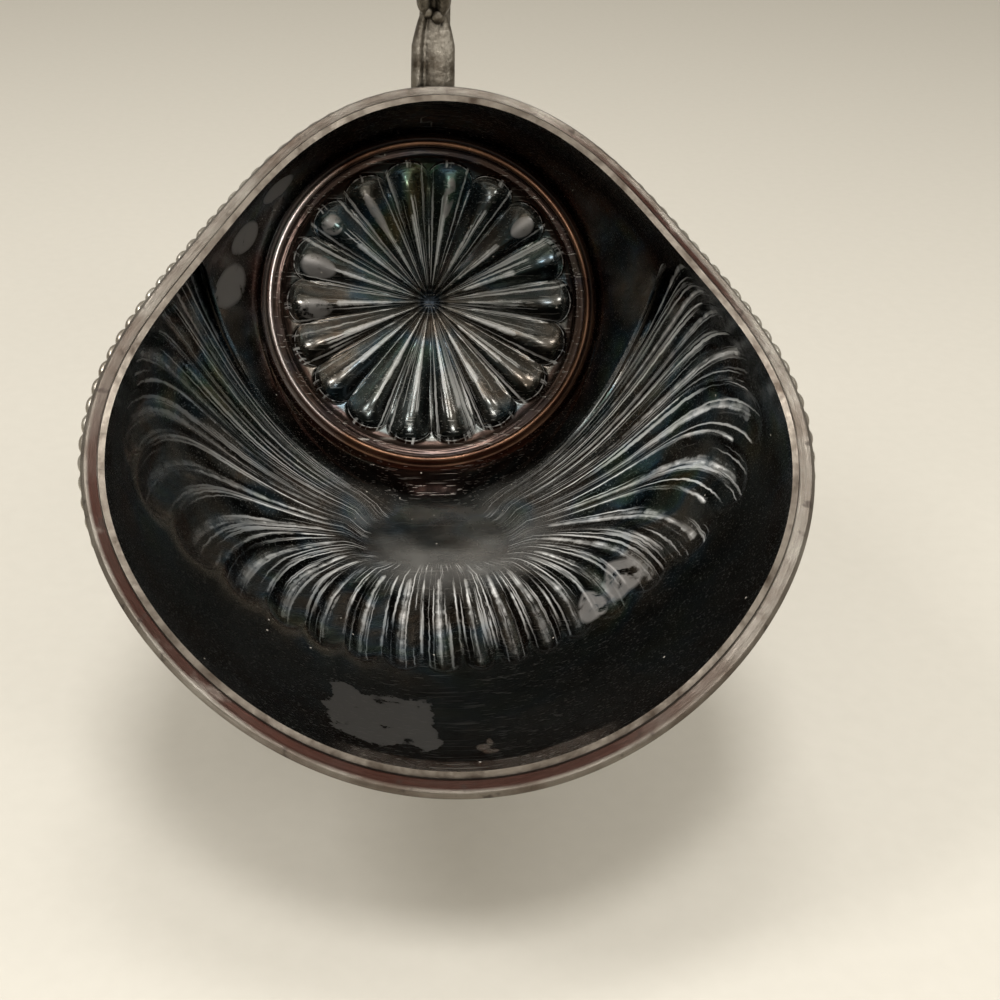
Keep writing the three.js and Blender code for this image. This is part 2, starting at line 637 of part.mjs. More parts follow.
// A plain thick wall that the leaves' feet are cut to. It reaches far into the bowl.
const SHEATH_INSIDE = -7;
const sheath = toManifold(makeBody(1, SHOULDER_STEPS, STAGES, SHEATH_INSIDE, SHEET + JOINT_GAP, false));
addPiece(scuttle, "handle_front_leaf", makeLeaf(FRONT_LEAF_LINE, sheath), CAST);
addPiece(scuttle, "handle_front_bead", makeBeadPair(...FRONT_BEADS), CAST);
addPiece(scuttle, "handle_loop", makeHandleLoop(), CAST);
addPiece(scuttle, "handle_rear_bead", makeBeadPair(...REAR_BEADS), CAST);
addPiece(scuttle, "handle_rear_leaf", makeLeaf(REAR_LEAF_LINE, sheath), CAST);

const foot = new THREE.Group();
foot.position.set(0, BACK_TO_ORIGIN + SEAT_BACK, 0);
scuttle.add(foot);
addPiece(foot, "foot_collar", makeCollar(), SILVER);
addPiece(foot, "foot_pedestal", makePedestal(), SILVER);
addPiece(foot, "foot_border", makeFootBorder(), SILVER);
addPiece(foot, "foot_base_wire", makeBaseWire(), SILVER);

export default scuttle;
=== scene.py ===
# %% [markdown]
# # A silver-plated sugar scuttle
# A sugar scuttle is a small table vessel with the shape of a coal scuttle. This one is soldered up from a
# raised bowl with half of it fluted, a stamped back plate with a rosette, a flat rim with a lobed border, a
# cast scroll handle and a spun foot. Inside, the silver has tarnished nearly black and still shines.
#
# The CAD model of the same object is loaded first and stays where it is. It is plain, for its triangles are
# few. Each piece is then made again here on the same formulas, finely enough to catch the light as metal
# does.

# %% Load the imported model
import json

import bpy
import numpy as np
from math import cos, pi, radians, sin
from mathutils import Matrix, Vector, noise

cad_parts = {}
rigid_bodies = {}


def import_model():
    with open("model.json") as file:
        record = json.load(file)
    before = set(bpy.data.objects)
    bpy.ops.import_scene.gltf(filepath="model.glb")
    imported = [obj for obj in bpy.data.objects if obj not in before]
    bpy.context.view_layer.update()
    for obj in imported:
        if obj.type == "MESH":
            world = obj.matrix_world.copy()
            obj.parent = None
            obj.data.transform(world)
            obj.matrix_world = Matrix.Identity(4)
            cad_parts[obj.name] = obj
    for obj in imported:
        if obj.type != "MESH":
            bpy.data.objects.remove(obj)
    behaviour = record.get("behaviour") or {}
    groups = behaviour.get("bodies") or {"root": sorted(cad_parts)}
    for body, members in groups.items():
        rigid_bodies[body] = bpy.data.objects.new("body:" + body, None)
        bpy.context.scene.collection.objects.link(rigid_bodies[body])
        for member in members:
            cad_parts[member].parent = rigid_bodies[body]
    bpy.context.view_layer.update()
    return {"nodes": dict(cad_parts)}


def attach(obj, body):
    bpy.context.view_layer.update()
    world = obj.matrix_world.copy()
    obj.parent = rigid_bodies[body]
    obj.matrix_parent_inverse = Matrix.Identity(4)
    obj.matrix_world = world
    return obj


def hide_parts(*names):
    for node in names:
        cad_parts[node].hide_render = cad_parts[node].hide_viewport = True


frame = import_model()
print("CAD nodes:", ", ".join(sorted(frame["nodes"])))

# %% [markdown]
# ## The sizes
# The bowl is worked out round its own axis, which rises 30 degrees from the back plate to the mouth. All
# sizes are the CAD model's, in millimetres and degrees, so that every new piece lies where the solid lies.
# These are the sizes that several pieces share, and each piece's own sizes come with it.

# %% Sizes of the bowl, the rim and the back
AXIS_TILT = radians(30)
BACK_HEIGHT = 52.0
BACK_TO_ORIGIN = 51.45
SHEET = 0.9
TOUCH = 0.06  # what is soldered together here keeps only this gap

MOUTH_LEAN = radians(22)
MOUTH_ALONG = 76.4
MOUTH_UP = -28.99
MOUTH_EGG = (51.68, 0, 2.58, -2.35, 1.61, -0.2)
RIM_WIDTH = 3.4
BEVEL = 0.7

# How the wall's bent line leaves the back opening and reaches the mouth: at the bottom, side and top.
BACK_TURN_RADIUS = (47.1, 41.4, 34.4)
BACK_TURN_ALONG = (10.8, 20, 16)
MOUTH_TURN_OUT = (-4.1, 2, 5)
MOUTH_TURN_ALONG = (38.5, 28, 16)
MOUTH_TURN_UP = (0, 4, 0)

RING_INNER = 30.0
RING_OUTER = 33.8
BACK_OPENING = 32.1
RING_FLANGE = 0.3

SEAT_BACK = -36.0
SEAT_LEVEL = -31.3
SEAT_FLAT = 11.4
SEAT_BLEND = 16.5
FOOT_CENTRE = BACK_TO_ORIGIN + SEAT_BACK
print("mouth about", round(2 * MOUTH_EGG[0]), "mm wide, ring", 2 * RING_OUTER, "mm")

# %% [markdown]
# ## From the axis to the room
# A bowl could be sculpted by eye, but here the photograph's camera was fitted to it, so its wall is a
# formula. One bent line runs from the back opening to the mouth for each angle round the axis, and the
# mouth is a rounded egg in a plane that leans. numpy works a formula out for all vertices at once.

# %% Frame of the axis, and the mouth's egg
def from_axis(p):
    """Turns places by the axis (across, up, along) into the room's own X, Y, Z, in millimetres."""
    p = np.asarray(p, float)
    c, s = cos(AXIS_TILT), sin(AXIS_TILT)
    x, up, along = p[..., 0], p[..., 1], p[..., 2]
    return np.stack([x, up * s - along * c + BACK_TO_ORIGIN, up * c + along * s + BACK_HEIGHT], -1)


def around(phi, bottom, side, top):
    """Mixes a bottom, side and top value by the angle."""
    c = np.cos(phi)
    return np.where(c > 0, bottom, top) * c * c + side * np.sin(phi) ** 2


def rim_place(phi, inset, behind=0.0):
    """A place by the axis in the mouth's plane, inset from the rim's outer edge."""
    radius = sum(size * np.cos(wave * phi) for wave, size in enumerate(MOUTH_EGG)) - inset
    up = -radius * np.cos(phi)
    return np.stack([
        radius * np.sin(phi),
        MOUTH_UP + up * cos(MOUTH_LEAN) - behind * sin(MOUTH_LEAN),
        MOUTH_ALONG - up * sin(MOUTH_LEAN) - behind * cos(MOUTH_LEAN),
    ], -1)


lip = from_axis(rim_place(np.array([0.0, pi]), 0))
print("lip at height", round(lip[0, 2], 1), "mm, top of the mouth at", round(lip[1, 2], 1), "mm")


# %% The wall
def smoothstep(x, low, high):
    x = np.clip((x - low) / (high - low), 0, 1)
    return x * x * (3 - 2 * x)


def wall(u, phi):
    """The inner wall in the room's frame, with the seat of the foot pressed level."""
    u, phi = np.broadcast_arrays(np.asarray(u, float), np.asarray(phi, float))
    zero = np.zeros_like(phi)
    out = np.stack([np.sin(phi), -np.cos(phi), zero], -1)
    along = np.stack([zero, zero, zero + 1], -1)
    back = out * BACK_OPENING + along * RING_FLANGE
    turn = out * around(phi, *BACK_TURN_RADIUS)[..., None] + along * around(phi, *BACK_TURN_ALONG)[..., None]
    mouth = rim_place(phi, RIM_WIDTH)
    mouth_turn = mouth + out * around(phi, *MOUTH_TURN_OUT)[..., None]
    mouth_turn -= along * around(phi, *MOUTH_TURN_ALONG)[..., None]
    mouth_turn[..., 1] += around(phi, *MOUTH_TURN_UP)
    v = u[..., None]
    p = back * (1 - v) ** 3 + 3 * turn * v * (1 - v) ** 2 + 3 * mouth_turn * v * v * (1 - v) + mouth * v ** 3
    q = from_axis(p)
    reach = np.hypot(q[..., 0], q[..., 1] - FOOT_CENTRE)
    flat = np.where(q[..., 2] < BACK_HEIGHT, 1 - smoothstep(reach, SEAT_FLAT, SEAT_BLEND), 0)
    q[..., 2] += (BACK_HEIGHT + SEAT_LEVEL - q[..., 2]) * flat
    return q


def unit(v):
    return v / np.linalg.norm(v, axis=-1, keepdims=True)


def wall_normal(u, phi):
    """The wall's outward direction."""
    d = 0.004
    along = wall(np.minimum(u + d, 1), phi) - wall(np.maximum(u - d, 0), phi)
    across = wall(u, phi + d) - wall(u, phi - d)
    return unit(np.cross(across, along))


def outside_rim(phi, distance, height):
    """A place on the outer face: distance back from the rim, and height above the sheet."""
    slope = np.linalg.norm(wall(1, phi) - wall(0.99, phi), axis=-1) / 0.01
    u = 1 - distance / slope
    height = np.asarray(height, float) + np.zeros_like(u)
    return wall(u, phi) + wall_normal(u, phi) * (SHEET + height)[..., None]


print("wall length along the bottom:", round(float(np.linalg.norm(np.diff(
    wall(np.linspace(0, 1, 60), 0.0), axis=0), axis=1).sum()), 1), "mm")

# %% [markdown]
# ## The camera
# The photograph looks straight into the mouth from close by, about 200 mm off, a little down the axis and a
# few degrees from the left. The lens and the place come from fitting the rim, the ring and the seat of the
# foot. The camera is made first, so that every later step can be looked at through it.

# %% Camera
YAW, PITCH, ROLL = radians(5.01), radians(-1.51), radians(0.77)
CAMERA_PLACE = (-11.41, -45.88, 278.67)  # across, up and along the axis
bpy.ops.object.camera_add()
camera = bpy.context.object
camera.name = "camera"
axis_frame = Matrix(((1, 0, 0), (0, sin(AXIS_TILT), -cos(AXIS_TILT)), (0, cos(AXIS_TILT), sin(AXIS_TILT))))
turned = Matrix.Rotation(ROLL, 3, "Z") @ Matrix.Rotation(PITCH, 3, "X") @ Matrix.Rotation(YAW, 3, "Y")
camera.matrix_world = (axis_frame @ turned.transposed()).to_4x4()
camera.location = Vector(from_axis(CAMERA_PLACE)) / 1000
camera.data.lens = 52.2
camera.data.clip_start = 0.01
bpy.context.scene.camera = camera
print("camera at", [round(v, 3) for v in camera.location], "m")

# %% [markdown]
# ## A sheet becomes a shape
# Nearly all the pieces are thin metal that was pressed, spun or rolled. A flat grid stands for the sheet,
# and a formula gives a table of places, one for each column and row of the grid. Each vertex moves to its
# own place. Edges that meet are then merged, so seams and poles are closed.

# %% Helpers for grids
def deselect():
    bpy.ops.object.select_all(action="DESELECT")


def vertices(piece):
    co = np.empty(len(piece.data.vertices) * 3)
    piece.data.vertices.foreach_get("co", co)
    return co.reshape(-1, 3)


def move_vertices(piece, places_mm):
    piece.data.vertices.foreach_set("co", (np.asarray(places_mm) / 1000).ravel())
    piece.data.update()


def keep_number(piece, name, kind, values):
    """Stores one number per vertex on the mesh, for a later step or a material."""
    piece.data.attributes.new(name, kind, "POINT").data.foreach_set("value", values)


def formed_grid(name, table):
    """A grid whose vertices move to a table's places, table[column, row], given in millimetres."""
    columns, rows = table.shape[0] - 1, table.shape[1] - 1
    deselect()
    bpy.ops.mesh.primitive_grid_add(x_subdivisions=columns, y_subdivisions=rows, size=2, calc_uvs=True)
    piece = bpy.context.object
    piece.name = piece.data.name = name
    s, t = (vertices(piece)[:, :2] + 1).T / 2
    number = np.rint(s * columns).astype(int) * (rows + 1) + np.rint(t * rows).astype(int)
    keep_number(piece, "number", "INT", number)
    move_vertices(piece, table.reshape(-1, 3)[number])
    return piece


print("each vertex of a grid keeps the number of its place in the table")


# %% Helpers that close and finish a piece
def read_numbers(piece):
    number = np.zeros(len(piece.data.vertices), int)
    piece.data.attributes["number"].data.foreach_get("value", number)
    return number


def close_seams(piece):
    """Merges the vertices that meet and turns all faces outwards."""
    bpy.ops.object.mode_set(mode="EDIT")
    bpy.ops.mesh.select_all(action="SELECT")
    bpy.ops.mesh.remove_doubles(threshold=2e-6)
    bpy.ops.mesh.normals_make_consistent(inside=False)
    bpy.ops.object.mode_set(mode="OBJECT")


def finish_piece(piece, node_name, angle=40):
    """Smooths a piece, lets it stand for its CAD node and prints its size."""
    deselect()
    piece.select_set(True)
    bpy.context.view_layer.objects.active = piece
    bpy.ops.object.shade_smooth_by_angle(angle=radians(angle))
    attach(piece, "root")
    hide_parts(node_name)
    piece.data.calc_loop_triangles()
    size = [round(v * 1000, 1) for v in piece.dimensions]
    print(piece.name, "has", len(piece.data.loop_triangles), "triangles and measures", size, "mm")


print("helpers for closing and finishing ready")

# %% [markdown]
# ## The bowl
# The real bowl was raised from one sheet, and its flutes were pressed in from a smooth seat under which the
# foot is soldered. They fan out over the front, turn up the sides to the rim and also run to the back ring.
# So the grid's columns are rays that leave the middle of the seat: 14 to each flute, and plain ones over
# the shoulder between the last side flute and the rear ones. Its rows are stages: 0 to 1 over the seat, 1
# to 2 along the flute, 2 to 3 over the plain sheet to the edge.

# %% Sizes of the flutes
# Each place is (u, phi): u runs along the wall from ring to rim, phi in degrees round from the bottom line.
SEAT_PLACE = (0.275, 0)
SIDE_FLUTES = 13
REAR_FLUTE = 14
LAST_FLUTE = 16
FLUTE_DEPTH = 0.17
DEEPEST = 1.3
SCALLOP = 0.08
FAN_SHIFT = 3.0
FLUTE_STARTS = [(0.4, 0), (0.4, 11), (0.385, 19), (0.335, 24), (0.275, 23), (0.21, 21), (0.17, 17),
                (0.145, 11)]
FLUTE_TURNS = [(0.52, 0), (0.5, 15), (0.49, 31), (0.47, 50), (0.41, 82), (0.2, 92), (0.03, 100), (-0.05, 120)]
FLUTE_TIPS = [(0.68, 0), (0.68, 14.5), (0.68, 29), (0.7, 48), (0.79, 76), (0.87, 106), (0.9, 119), (0.9, 129)]
RIM_PLACES = [(1, 0), (1, 15), (1, 30.5), (1, 51), (1, 81), (1, 109), (1, 122), (1, 133)]
REAR_STARTS = [(0.145, 10), (0.14, 5), (0.138, 0)]
REAR_TURNS = [(0.07, 42), (0.07, 20), (0.07, 0)]
REAR_TIPS = [(0.03, 76), (0.03, 37), (0.03, 0)]
SHOULDER_TURNS = [(-0.02, 112), (0, 116), (0.01, 112), (0.05, 60)]
print("flutes", SIDE_FLUTES, "to a side up to the rim and", LAST_FLUTE - REAR_FLUTE, "to the ring")

# %% Rays of the flutes
PER_FLUTE = 14


def flute_at(count):
    """The flute's number at a ray. The rays lie closer near a crest, which is narrower than a valley."""
    return count // PER_FLUTE + 0.5 - 0.5 * cos(pi * (count % PER_FLUTE) / PER_FLUTE)


def spline(points, t):
    """A place on the smooth curve through evenly spaced points."""
    at = t * (len(points) - 1)
    i = min(int(at), len(points) - 2)
    w = at - i
    p0, p1, p2, p3 = (np.array(points[min(max(k, 0), len(points) - 1)], float) for k in range(i - 1, i + 3))
    v0, v1 = (p2 - p0) / 2, (p3 - p1) / 2
    return (2 * p1 - 2 * p2 + v0 + v1) * w ** 3 + (3 * p2 - 3 * p1 - 2 * v0 - v1) * w ** 2 + v0 * w + p1


def flute_place(places, flute):
    """Reads a list of every second flute's place. The front ones lean a little to the right."""
    points = [(places[1][0], -places[1][1])] + places
    u, phi = spline(points, (abs(flute) / 2 + 1) / (len(points) - 1))
    shift = FAN_SHIFT * max(0, 1 - abs(flute) / 8) ** 2
    return np.array([u, (-1 if flute < 0 else 1) * phi + shift])


def ray(start, turn, tip, edge, sign, stage):
    """The places (u, phi) of one flute's ray at an array of stages."""
    t = np.clip(stage - 1, 0, 1)[:, None]
    place = start * (1 - t) ** 2 + 2 * turn * t * (1 - t) + tip * t * t
    seat = np.array(SEAT_PLACE) + (start - np.array(SEAT_PLACE)) * stage[:, None]
    plain = tip + (edge - tip) * (stage[:, None] - 2)
    place = np.where(stage[:, None] < 1, seat, np.where(stage[:, None] > 2, plain, place))
    return place[:, 0], np.radians(place[:, 1] * sign)


def front_ray(flute):
    lists = [flute_place(places, flute) for places in (FLUTE_STARTS, FLUTE_TURNS, FLUTE_TIPS, RIM_PLACES)]
    return lambda stage: ray(*lists, 1, stage)


def rear_ray(flute, sign):
    def read(places):
        i = min(int(flute) - REAR_FLUTE, 1)
        part = flute - REAR_FLUTE - i
        return np.array(places[i]) * (1 - part) + np.array(places[i + 1]) * part
    tip = read(REAR_TIPS)
    return lambda stage: ray(read(REAR_STARTS), read(REAR_TURNS), tip, np.array([0, tip[1]]), sign, stage)


print("a flute has rays at", [round(flute_at(k), 2) for k in range(PER_FLUTE + 1)])

# %% Rays of the plain shoulder
SHOULDER_COUNTS = (18, 14, 30)  # along the rim, along the top line, along the ring


def shoulder_ray(edge, share, sign):
    start = flute_place(FLUTE_STARTS, SIDE_FLUTES) * (1 - share) + np.array(REAR_STARTS[0]) * share
    knee = share * 3
    i = min(int(knee), 2)
    turn = np.array(SHOULDER_TURNS[i]) * (1 - knee + i) + np.array(SHOULDER_TURNS[i + 1]) * (knee - i)

    def at(stage):
        t = np.where(stage < 2, (stage - 1) * 0.6, 0.6 + (stage - 2) * 0.4)[:, None]
        bent = start * (1 - t) ** 2 + 2 * turn * t * (1 - t) + edge * t * t
        seat = np.array(SEAT_PLACE) + (start - np.array(SEAT_PLACE)) * stage[:, None]
        place = np.where(stage[:, None] < 1, seat, bent)
        return np.maximum(place[:, 0], 0), np.radians(place[:, 1] * sign)
    return at


def shoulder_edges():
    corners = [flute_place(RIM_PLACES, SIDE_FLUTES), np.array([1, 180.0]), np.array([0, 180.0]),
               np.array([0, REAR_TIPS[0][1]], float)]
    edges = []
    for side, count in enumerate(SHOULDER_COUNTS):
        for i in range(0 if side else 1, count):
            edges.append(corners[side] + (corners[side + 1] - corners[side]) * i / count)
    return edges


edges = shoulder_edges()
shares = [(i + 1) / (len(edges) + 1) for i in range(len(edges))]
side = range(-SIDE_FLUTES * PER_FLUTE, SIDE_FLUTES * PER_FLUTE + 1)
rear = range(REAR_FLUTE * PER_FLUTE, LAST_FLUTE * PER_FLUTE + 1)
rays = [(flute_at(i), front_ray(flute_at(i))) for i in side]
rays += [(None, shoulder_ray(e, s, 1)) for e, s in zip(edges, shares)]
rays += [(flute_at(i), rear_ray(flute_at(i), 1)) for i in rear]
rays += [(flute_at(i), rear_ray(flute_at(i), -1)) for i in reversed(rear[:-1])]
rays += [(None, shoulder_ray(e, s, -1)) for e, s in reversed(list(zip(edges, shares)))]
FLUTES = 2 * SIDE_FLUTES + 2 * (LAST_FLUTE - REAR_FLUTE)
print(len(rays), "rays leave the seat,", FLUTES, "flutes between them")

# %% [markdown]
# A flute is a round trough. Seen from inside, its valley is wide and its crests, which the light picks out
# as bright lines, are narrow but not sharp. It rises softly from the seat and ends in a round tip. Hand
# work leaves the sheet slightly uneven, and polished metal shows that at once, so the wall gets ripples of
# a few hundredths of a millimetre too. In the same step each vertex gets the maps that the finish needs
# later.

# %% Depth of the flutes
STAGES = np.concatenate([
    np.linspace(0, 1, 12)[:-1], np.linspace(1, 1.7, 26)[:-1], np.linspace(1.7, 2, 22)[:-1],
    np.linspace(2, 2.12, 5)[:-1], np.linspace(2.12, 3, 15)])
MAP_NAMES = ("crest", "valley", "flute", "stage", "along", "turn")
REAR_SHARE = 0.12  # the rear flutes are nearly smooth in the photograph
ROUND_TIP = 1.78  # the stage from which a flute grows shallow towards its tip
REAR_TIP = 1.5  # the same for a rear one
RIPPLE = 0.045
CUT_BLEND = 0.06  # over this share of the wall the cut edge turns square to the axis


def flute_strength(stage, is_rear):
    end = REAR_TIP if is_rear else ROUND_TIP
    past = np.clip((stage - end) / (2 - end), 0, 1)
    strength = smoothstep(stage, 1, 1.3) * np.sqrt(1 - past ** 2) * (REAR_SHARE if is_rear else 1)
    return np.where((stage > 1) & (stage < 2), strength, 0)


def flute_depth(c, across, base, is_rear):
    """How far the flute is pressed out along ray c. Its width is measured over half a flute to each side."""
    after, before = min(c + PER_FLUTE // 2, len(rays) - 1), max(c - PER_FLUTE // 2, 0)
    width = np.linalg.norm(base[after] - base[before], axis=-1) * PER_FLUTE / (after - before)
    trough = 0.62 * (1 - across ** 2) + 0.38 * (0.5 + 0.5 * cos(pi * across))
    return np.minimum(FLUTE_DEPTH * width, DEEPEST) * trough * flute_strength(STAGES, is_rear)


print(len(STAGES), "stages along a ray, a flute", DEEPEST, "mm deep at most")


# %% The bowl's inner and outer faces
def bowl_faces():
    """Inner and outer places for each ray and stage, and maps for the materials."""
    base = np.array([wall(*at(STAGES)) for _, at in rays])
    inner, outer = np.zeros_like(base), np.zeros_like(base)
    maps = {name: np.zeros(base.shape[:2]) for name in MAP_NAMES}
    for c, (flute, at) in enumerate(rays):
        is_rear = flute is not None and flute >= REAR_FLUTE
        across = 0 if flute is None else 2 * (flute - np.floor(flute)) - 1
        pull = np.where(np.abs(STAGES - 2) < 0.5, 1 - np.abs(STAGES - 2) * 2, 0)
        u, phi = at(np.maximum(STAGES - (0 if is_rear or flute is None else SCALLOP * across ** 2 * pull), 0))
        place, normal = wall(u, phi), wall_normal(u, phi)
        depth = np.zeros_like(u)
        if flute is not None:
            depth = flute_depth(c, across, base, is_rear)
            shown = smoothstep(STAGES, 0.72, 1.12) * (1 - smoothstep(STAGES, 1.88, 2.0))
            shown = shown * (0 if is_rear else 1)
            maps["crest"][c] = across ** 2 * shown
            maps["valley"][c] = (1 - across ** 2) ** 2 * shown
            maps["flute"][c] = flute
        ripple = np.array([noise.noise(Vector(p) / 9) + 0.4 * noise.noise(Vector(p) / 3.5) for p in place])
        fade = np.clip(np.minimum(1 - u, u) * 12, 0, 1)
        depth = depth + RIPPLE * ripple * fade
        out = from_axis(np.stack([np.sin(phi), -np.cos(phi), 0 * phi], -1)) - from_axis(np.zeros(3))
        square = np.maximum(0, 1 - u / CUT_BLEND)[:, None]
        way = normal + (out / (out * normal).sum(-1, keepdims=True) - normal) * square
        inner[c], outer[c] = place + normal * depth[:, None], place + way * (depth + SHEET)[:, None]
        maps["stage"][c], maps["along"][c], maps["turn"][c] = STAGES, u, np.degrees(phi)
    return inner, outer, maps


bowl_inner, bowl_outer, bowl_maps = bowl_faces()
print("the bowl's tables have", bowl_inner.shape[0], "rays by", bowl_inner.shape[1], "stages")


# %% The bowl's sheet
def thicken(piece, outer):
    """Extrudes a sheet's faces, and moves each new vertex to the outer place with the same number."""
    bpy.ops.object.mode_set(mode="EDIT")
    bpy.ops.mesh.select_all(action="SELECT")
    bpy.ops.mesh.extrude_region()
    bpy.ops.object.mode_set(mode="OBJECT")
    mesh = piece.data
    chosen = np.zeros(len(mesh.vertices), bool)
    mesh.vertices.foreach_get("select", chosen)
    places = vertices(piece) * 1000
    places[chosen] = outer.reshape(-1, 3)[read_numbers(piece)[chosen]]
    move_vertices(piece, places)
    corners = np.zeros(len(mesh.loops), int)
    mesh.loops.foreach_get("vertex_index", corners)
    starts = np.zeros(len(mesh.polygons), int)
    mesh.polygons.foreach_get("loop_start", starts)
    touches, outside = (mix.reduceat(chosen[corners].astype(int), starts) for mix in (np.maximum, np.minimum))
    mesh.polygons.foreach_set("material_index", 2 * touches - outside)  # 0 inside, 1 outside, 2 the cut edges
    bpy.ops.object.mode_set(mode="EDIT")
    bpy.ops.mesh.select_all(action="SELECT")
    bpy.ops.mesh.normals_make_consistent(inside=False)
    bpy.ops.object.mode_set(mode="OBJECT")


def around_once(table):
    """Repeats a table's first column at its end, so that the grid closes round the piece."""
    return np.concatenate([table, table[:1]])


bowl = formed_grid("bowl_sheet", around_once(bowl_inner))
for name, values in bowl_maps.items():
    keep_number(bowl, name, "FLOAT", around_once(values).ravel()[read_numbers(bowl)])
close_seams(bowl)
thicken(bowl, around_once(bowl_outer))
finish_piece(bowl, "body", 50)

# %% [markdown]
# ## The back plate
# The plate is a disc of the same sheet, stamped with a rosette: 18 spoon-shaped petals that are pressed
# outwards, so from inside each is a trough with a round end and a small raised lip. Between two petals runs
# a double ridge, and they all run out into a plain hub. A polar grid follows the petals, 22 columns to
# each, and is extruded to the sheet's thickness.

# %% Depth of the petals
PER_PETAL = 22
PETALS = 18
PETAL_TIP = 27.0
PETAL_DEPTH = 2.4
PETAL_RISE = 0.78
PLATE_RADIUS = RING_INNER + 0.3
PLATE_FACE = -0.6
HUB = 1.6  # radius of the plain middle
GROOVE_DEPTH = 0.32  # it splits the ridge between two petals in two
LIP_HEIGHT = 0.5
LIP_WIDTH = 0.3
LIP_BEYOND = 0.32  # the lip's top lies this far outside the petal's tip
COVE_RADIUS = 28.7
COVE_DEPTH = 0.3


def petal_tip(across):
    """How far a petal reaches, as a share of its middle's reach. Its end is nearly a half circle."""
    return 1 - 0.06 * across ** 2 - 0.04 * across ** 6


def hump(x, middle, width):
    return np.exp(-((x - middle) / width) ** 2)


def petal_depth(radius, across):
    """How far the plate is pressed outwards at a radius and a place across the petal, from -1 to 1."""
    tip = PETAL_TIP * petal_tip(across)
    share = (radius - HUB) / (tip - HUB)
    past = np.clip((share - PETAL_RISE) / (1 - PETAL_RISE), 0, 1)
    trough = 0.7 * (1 - across ** 2) + 0.3 * (0.5 + 0.5 * np.cos(pi * across))
    length = np.clip(share, 0, 1) ** 0.62
    pressed = PETAL_DEPTH * trough * length * np.sqrt(1 - past ** 2)
    groove = GROOVE_DEPTH * hump(abs(across), 1, 0.05)
    groove = groove * smoothstep(share, 0.15, 0.5) * (1 - smoothstep(share, 0.85, 1))
    lip = LIP_HEIGHT * hump(radius, tip + LIP_BEYOND, LIP_WIDTH)
    cove = COVE_DEPTH * hump(radius, COVE_RADIUS, 0.5)
    return pressed + groove - lip + cove


print("a petal is pressed out by", round(float(petal_depth(20.0, 0.0)), 2), "mm at 20 mm")


# %% Back plate
def plate_faces():
    """Inner and outer places for each column and row, and the same maps as the bowl's for the materials."""
    c = np.arange(PETALS * PER_PETAL + 1)
    across = -np.cos(pi * (c % PER_PETAL) / PER_PETAL)
    turn = 2 * pi * (c // PER_PETAL + (across + 1) / 2) / PETALS
    share = np.concatenate([np.linspace(0, 0.75, 22), np.linspace(0.78, 1, 14)])
    columns, maps = [], {name: [] for name in MAP_NAMES}
    for angle, a in zip(turn, across):
        inside = PETAL_TIP * share * (1 + (petal_tip(a) - 1) * share ** 4)
        beyond = inside[-1] + (PLATE_RADIUS - 0.1 - inside[-1]) * np.linspace(0, 1, 15)[1:]
        radius = np.concatenate([inside, beyond])
        depth = petal_depth(radius, a)
        columns.append(np.stack([radius * sin(angle), -radius * cos(angle), PLATE_FACE - depth], -1))
        on_petal = smoothstep(radius, 2.5, 8)
        on_petal = on_petal * (1 - smoothstep(radius, 25.5 * petal_tip(a), 27.2 * petal_tip(a)))
        lip = hump(radius, PETAL_TIP * petal_tip(a) + LIP_BEYOND, LIP_WIDTH)
        maps["crest"].append(np.maximum(a ** 6 * on_petal, lip))
        maps["valley"].append((1 - a * a) ** 2 * on_petal * (1 - smoothstep(radius, 17, 22)))
        maps["flute"].append(angle * PETALS / (2 * pi) + 0 * radius)
        maps["stage"].append(1.2 + radius / 50)
        maps["along"].append(0.5 + 0 * radius)
        maps["turn"].append(180 + 0 * radius)
    face = np.array(columns)
    return from_axis(face), from_axis(face - np.array([0, 0, SHEET])), maps


plate_inner, plate_outer, plate_maps = plate_faces()
plate = formed_grid("rosette_plate", plate_inner)
for name, values in plate_maps.items():
    keep_number(plate, name, "FLOAT", np.array(values).ravel()[read_numbers(plate)])
close_seams(plate)
thicken(plate, plate_outer)
finish_piece(plate, "back_plate")

# %% [markdown]
# ## Turned and spun pieces
# The ring at the back and the foot are round. By hand such a piece starts as its profile, which is spun
# round the axis: a circle without faces gives the profile its vertices, and the Spin operator sweeps it. A
# Bevel modifier breaks the corners, because a polished edge is never quite sharp.

# %% Helper for spun pieces
def spun(name, profile, steps, centre, axis, across, bevel):
    """Spins a closed profile of (radius, height) in millimetres about an axis through centre."""
    deselect()
    bpy.ops.mesh.primitive_circle_add(vertices=len(profile), fill_type="NOTHING")
    piece = bpy.context.object
    piece.name = piece.data.name = name
    radius, height = np.array(profile, float).T
    places = np.array(centre) + radius[:, None] * np.array(across) + height[:, None] * np.array(axis)
    move_vertices(piece, places)
    bpy.ops.object.mode_set(mode="EDIT")
    bpy.ops.mesh.select_all(action="SELECT")
    bpy.ops.mesh.spin(steps=steps, angle=2 * pi, center=np.array(centre) / 1000, axis=axis)
    bpy.ops.mesh.select_all(action="SELECT")
    bpy.ops.mesh.remove_doubles(threshold=2e-6)
    bpy.ops.mesh.normals_make_consistent(inside=False)
    bpy.ops.object.mode_set(mode="OBJECT")
    soften(piece, bevel)
    return piece


def soften(piece, width_mm, angle=25):
    """Bevels the edges that are sharper than an angle."""
    bpy.ops.object.modifier_add(type="BEVEL")
    bevel = piece.modifiers[-1]
    bevel.width, bevel.segments = width_mm / 1000, 3
    bevel.limit_method, bevel.angle_limit = "ANGLE", radians(angle)
    bpy.ops.object.modifier_apply(modifier=bevel.name)


print("helpers for spun pieces ready")

# %% [markdown]
# ## The back ring
# This moulding covers the seam between the bowl and the plate. Its bright lip is what shows inside.

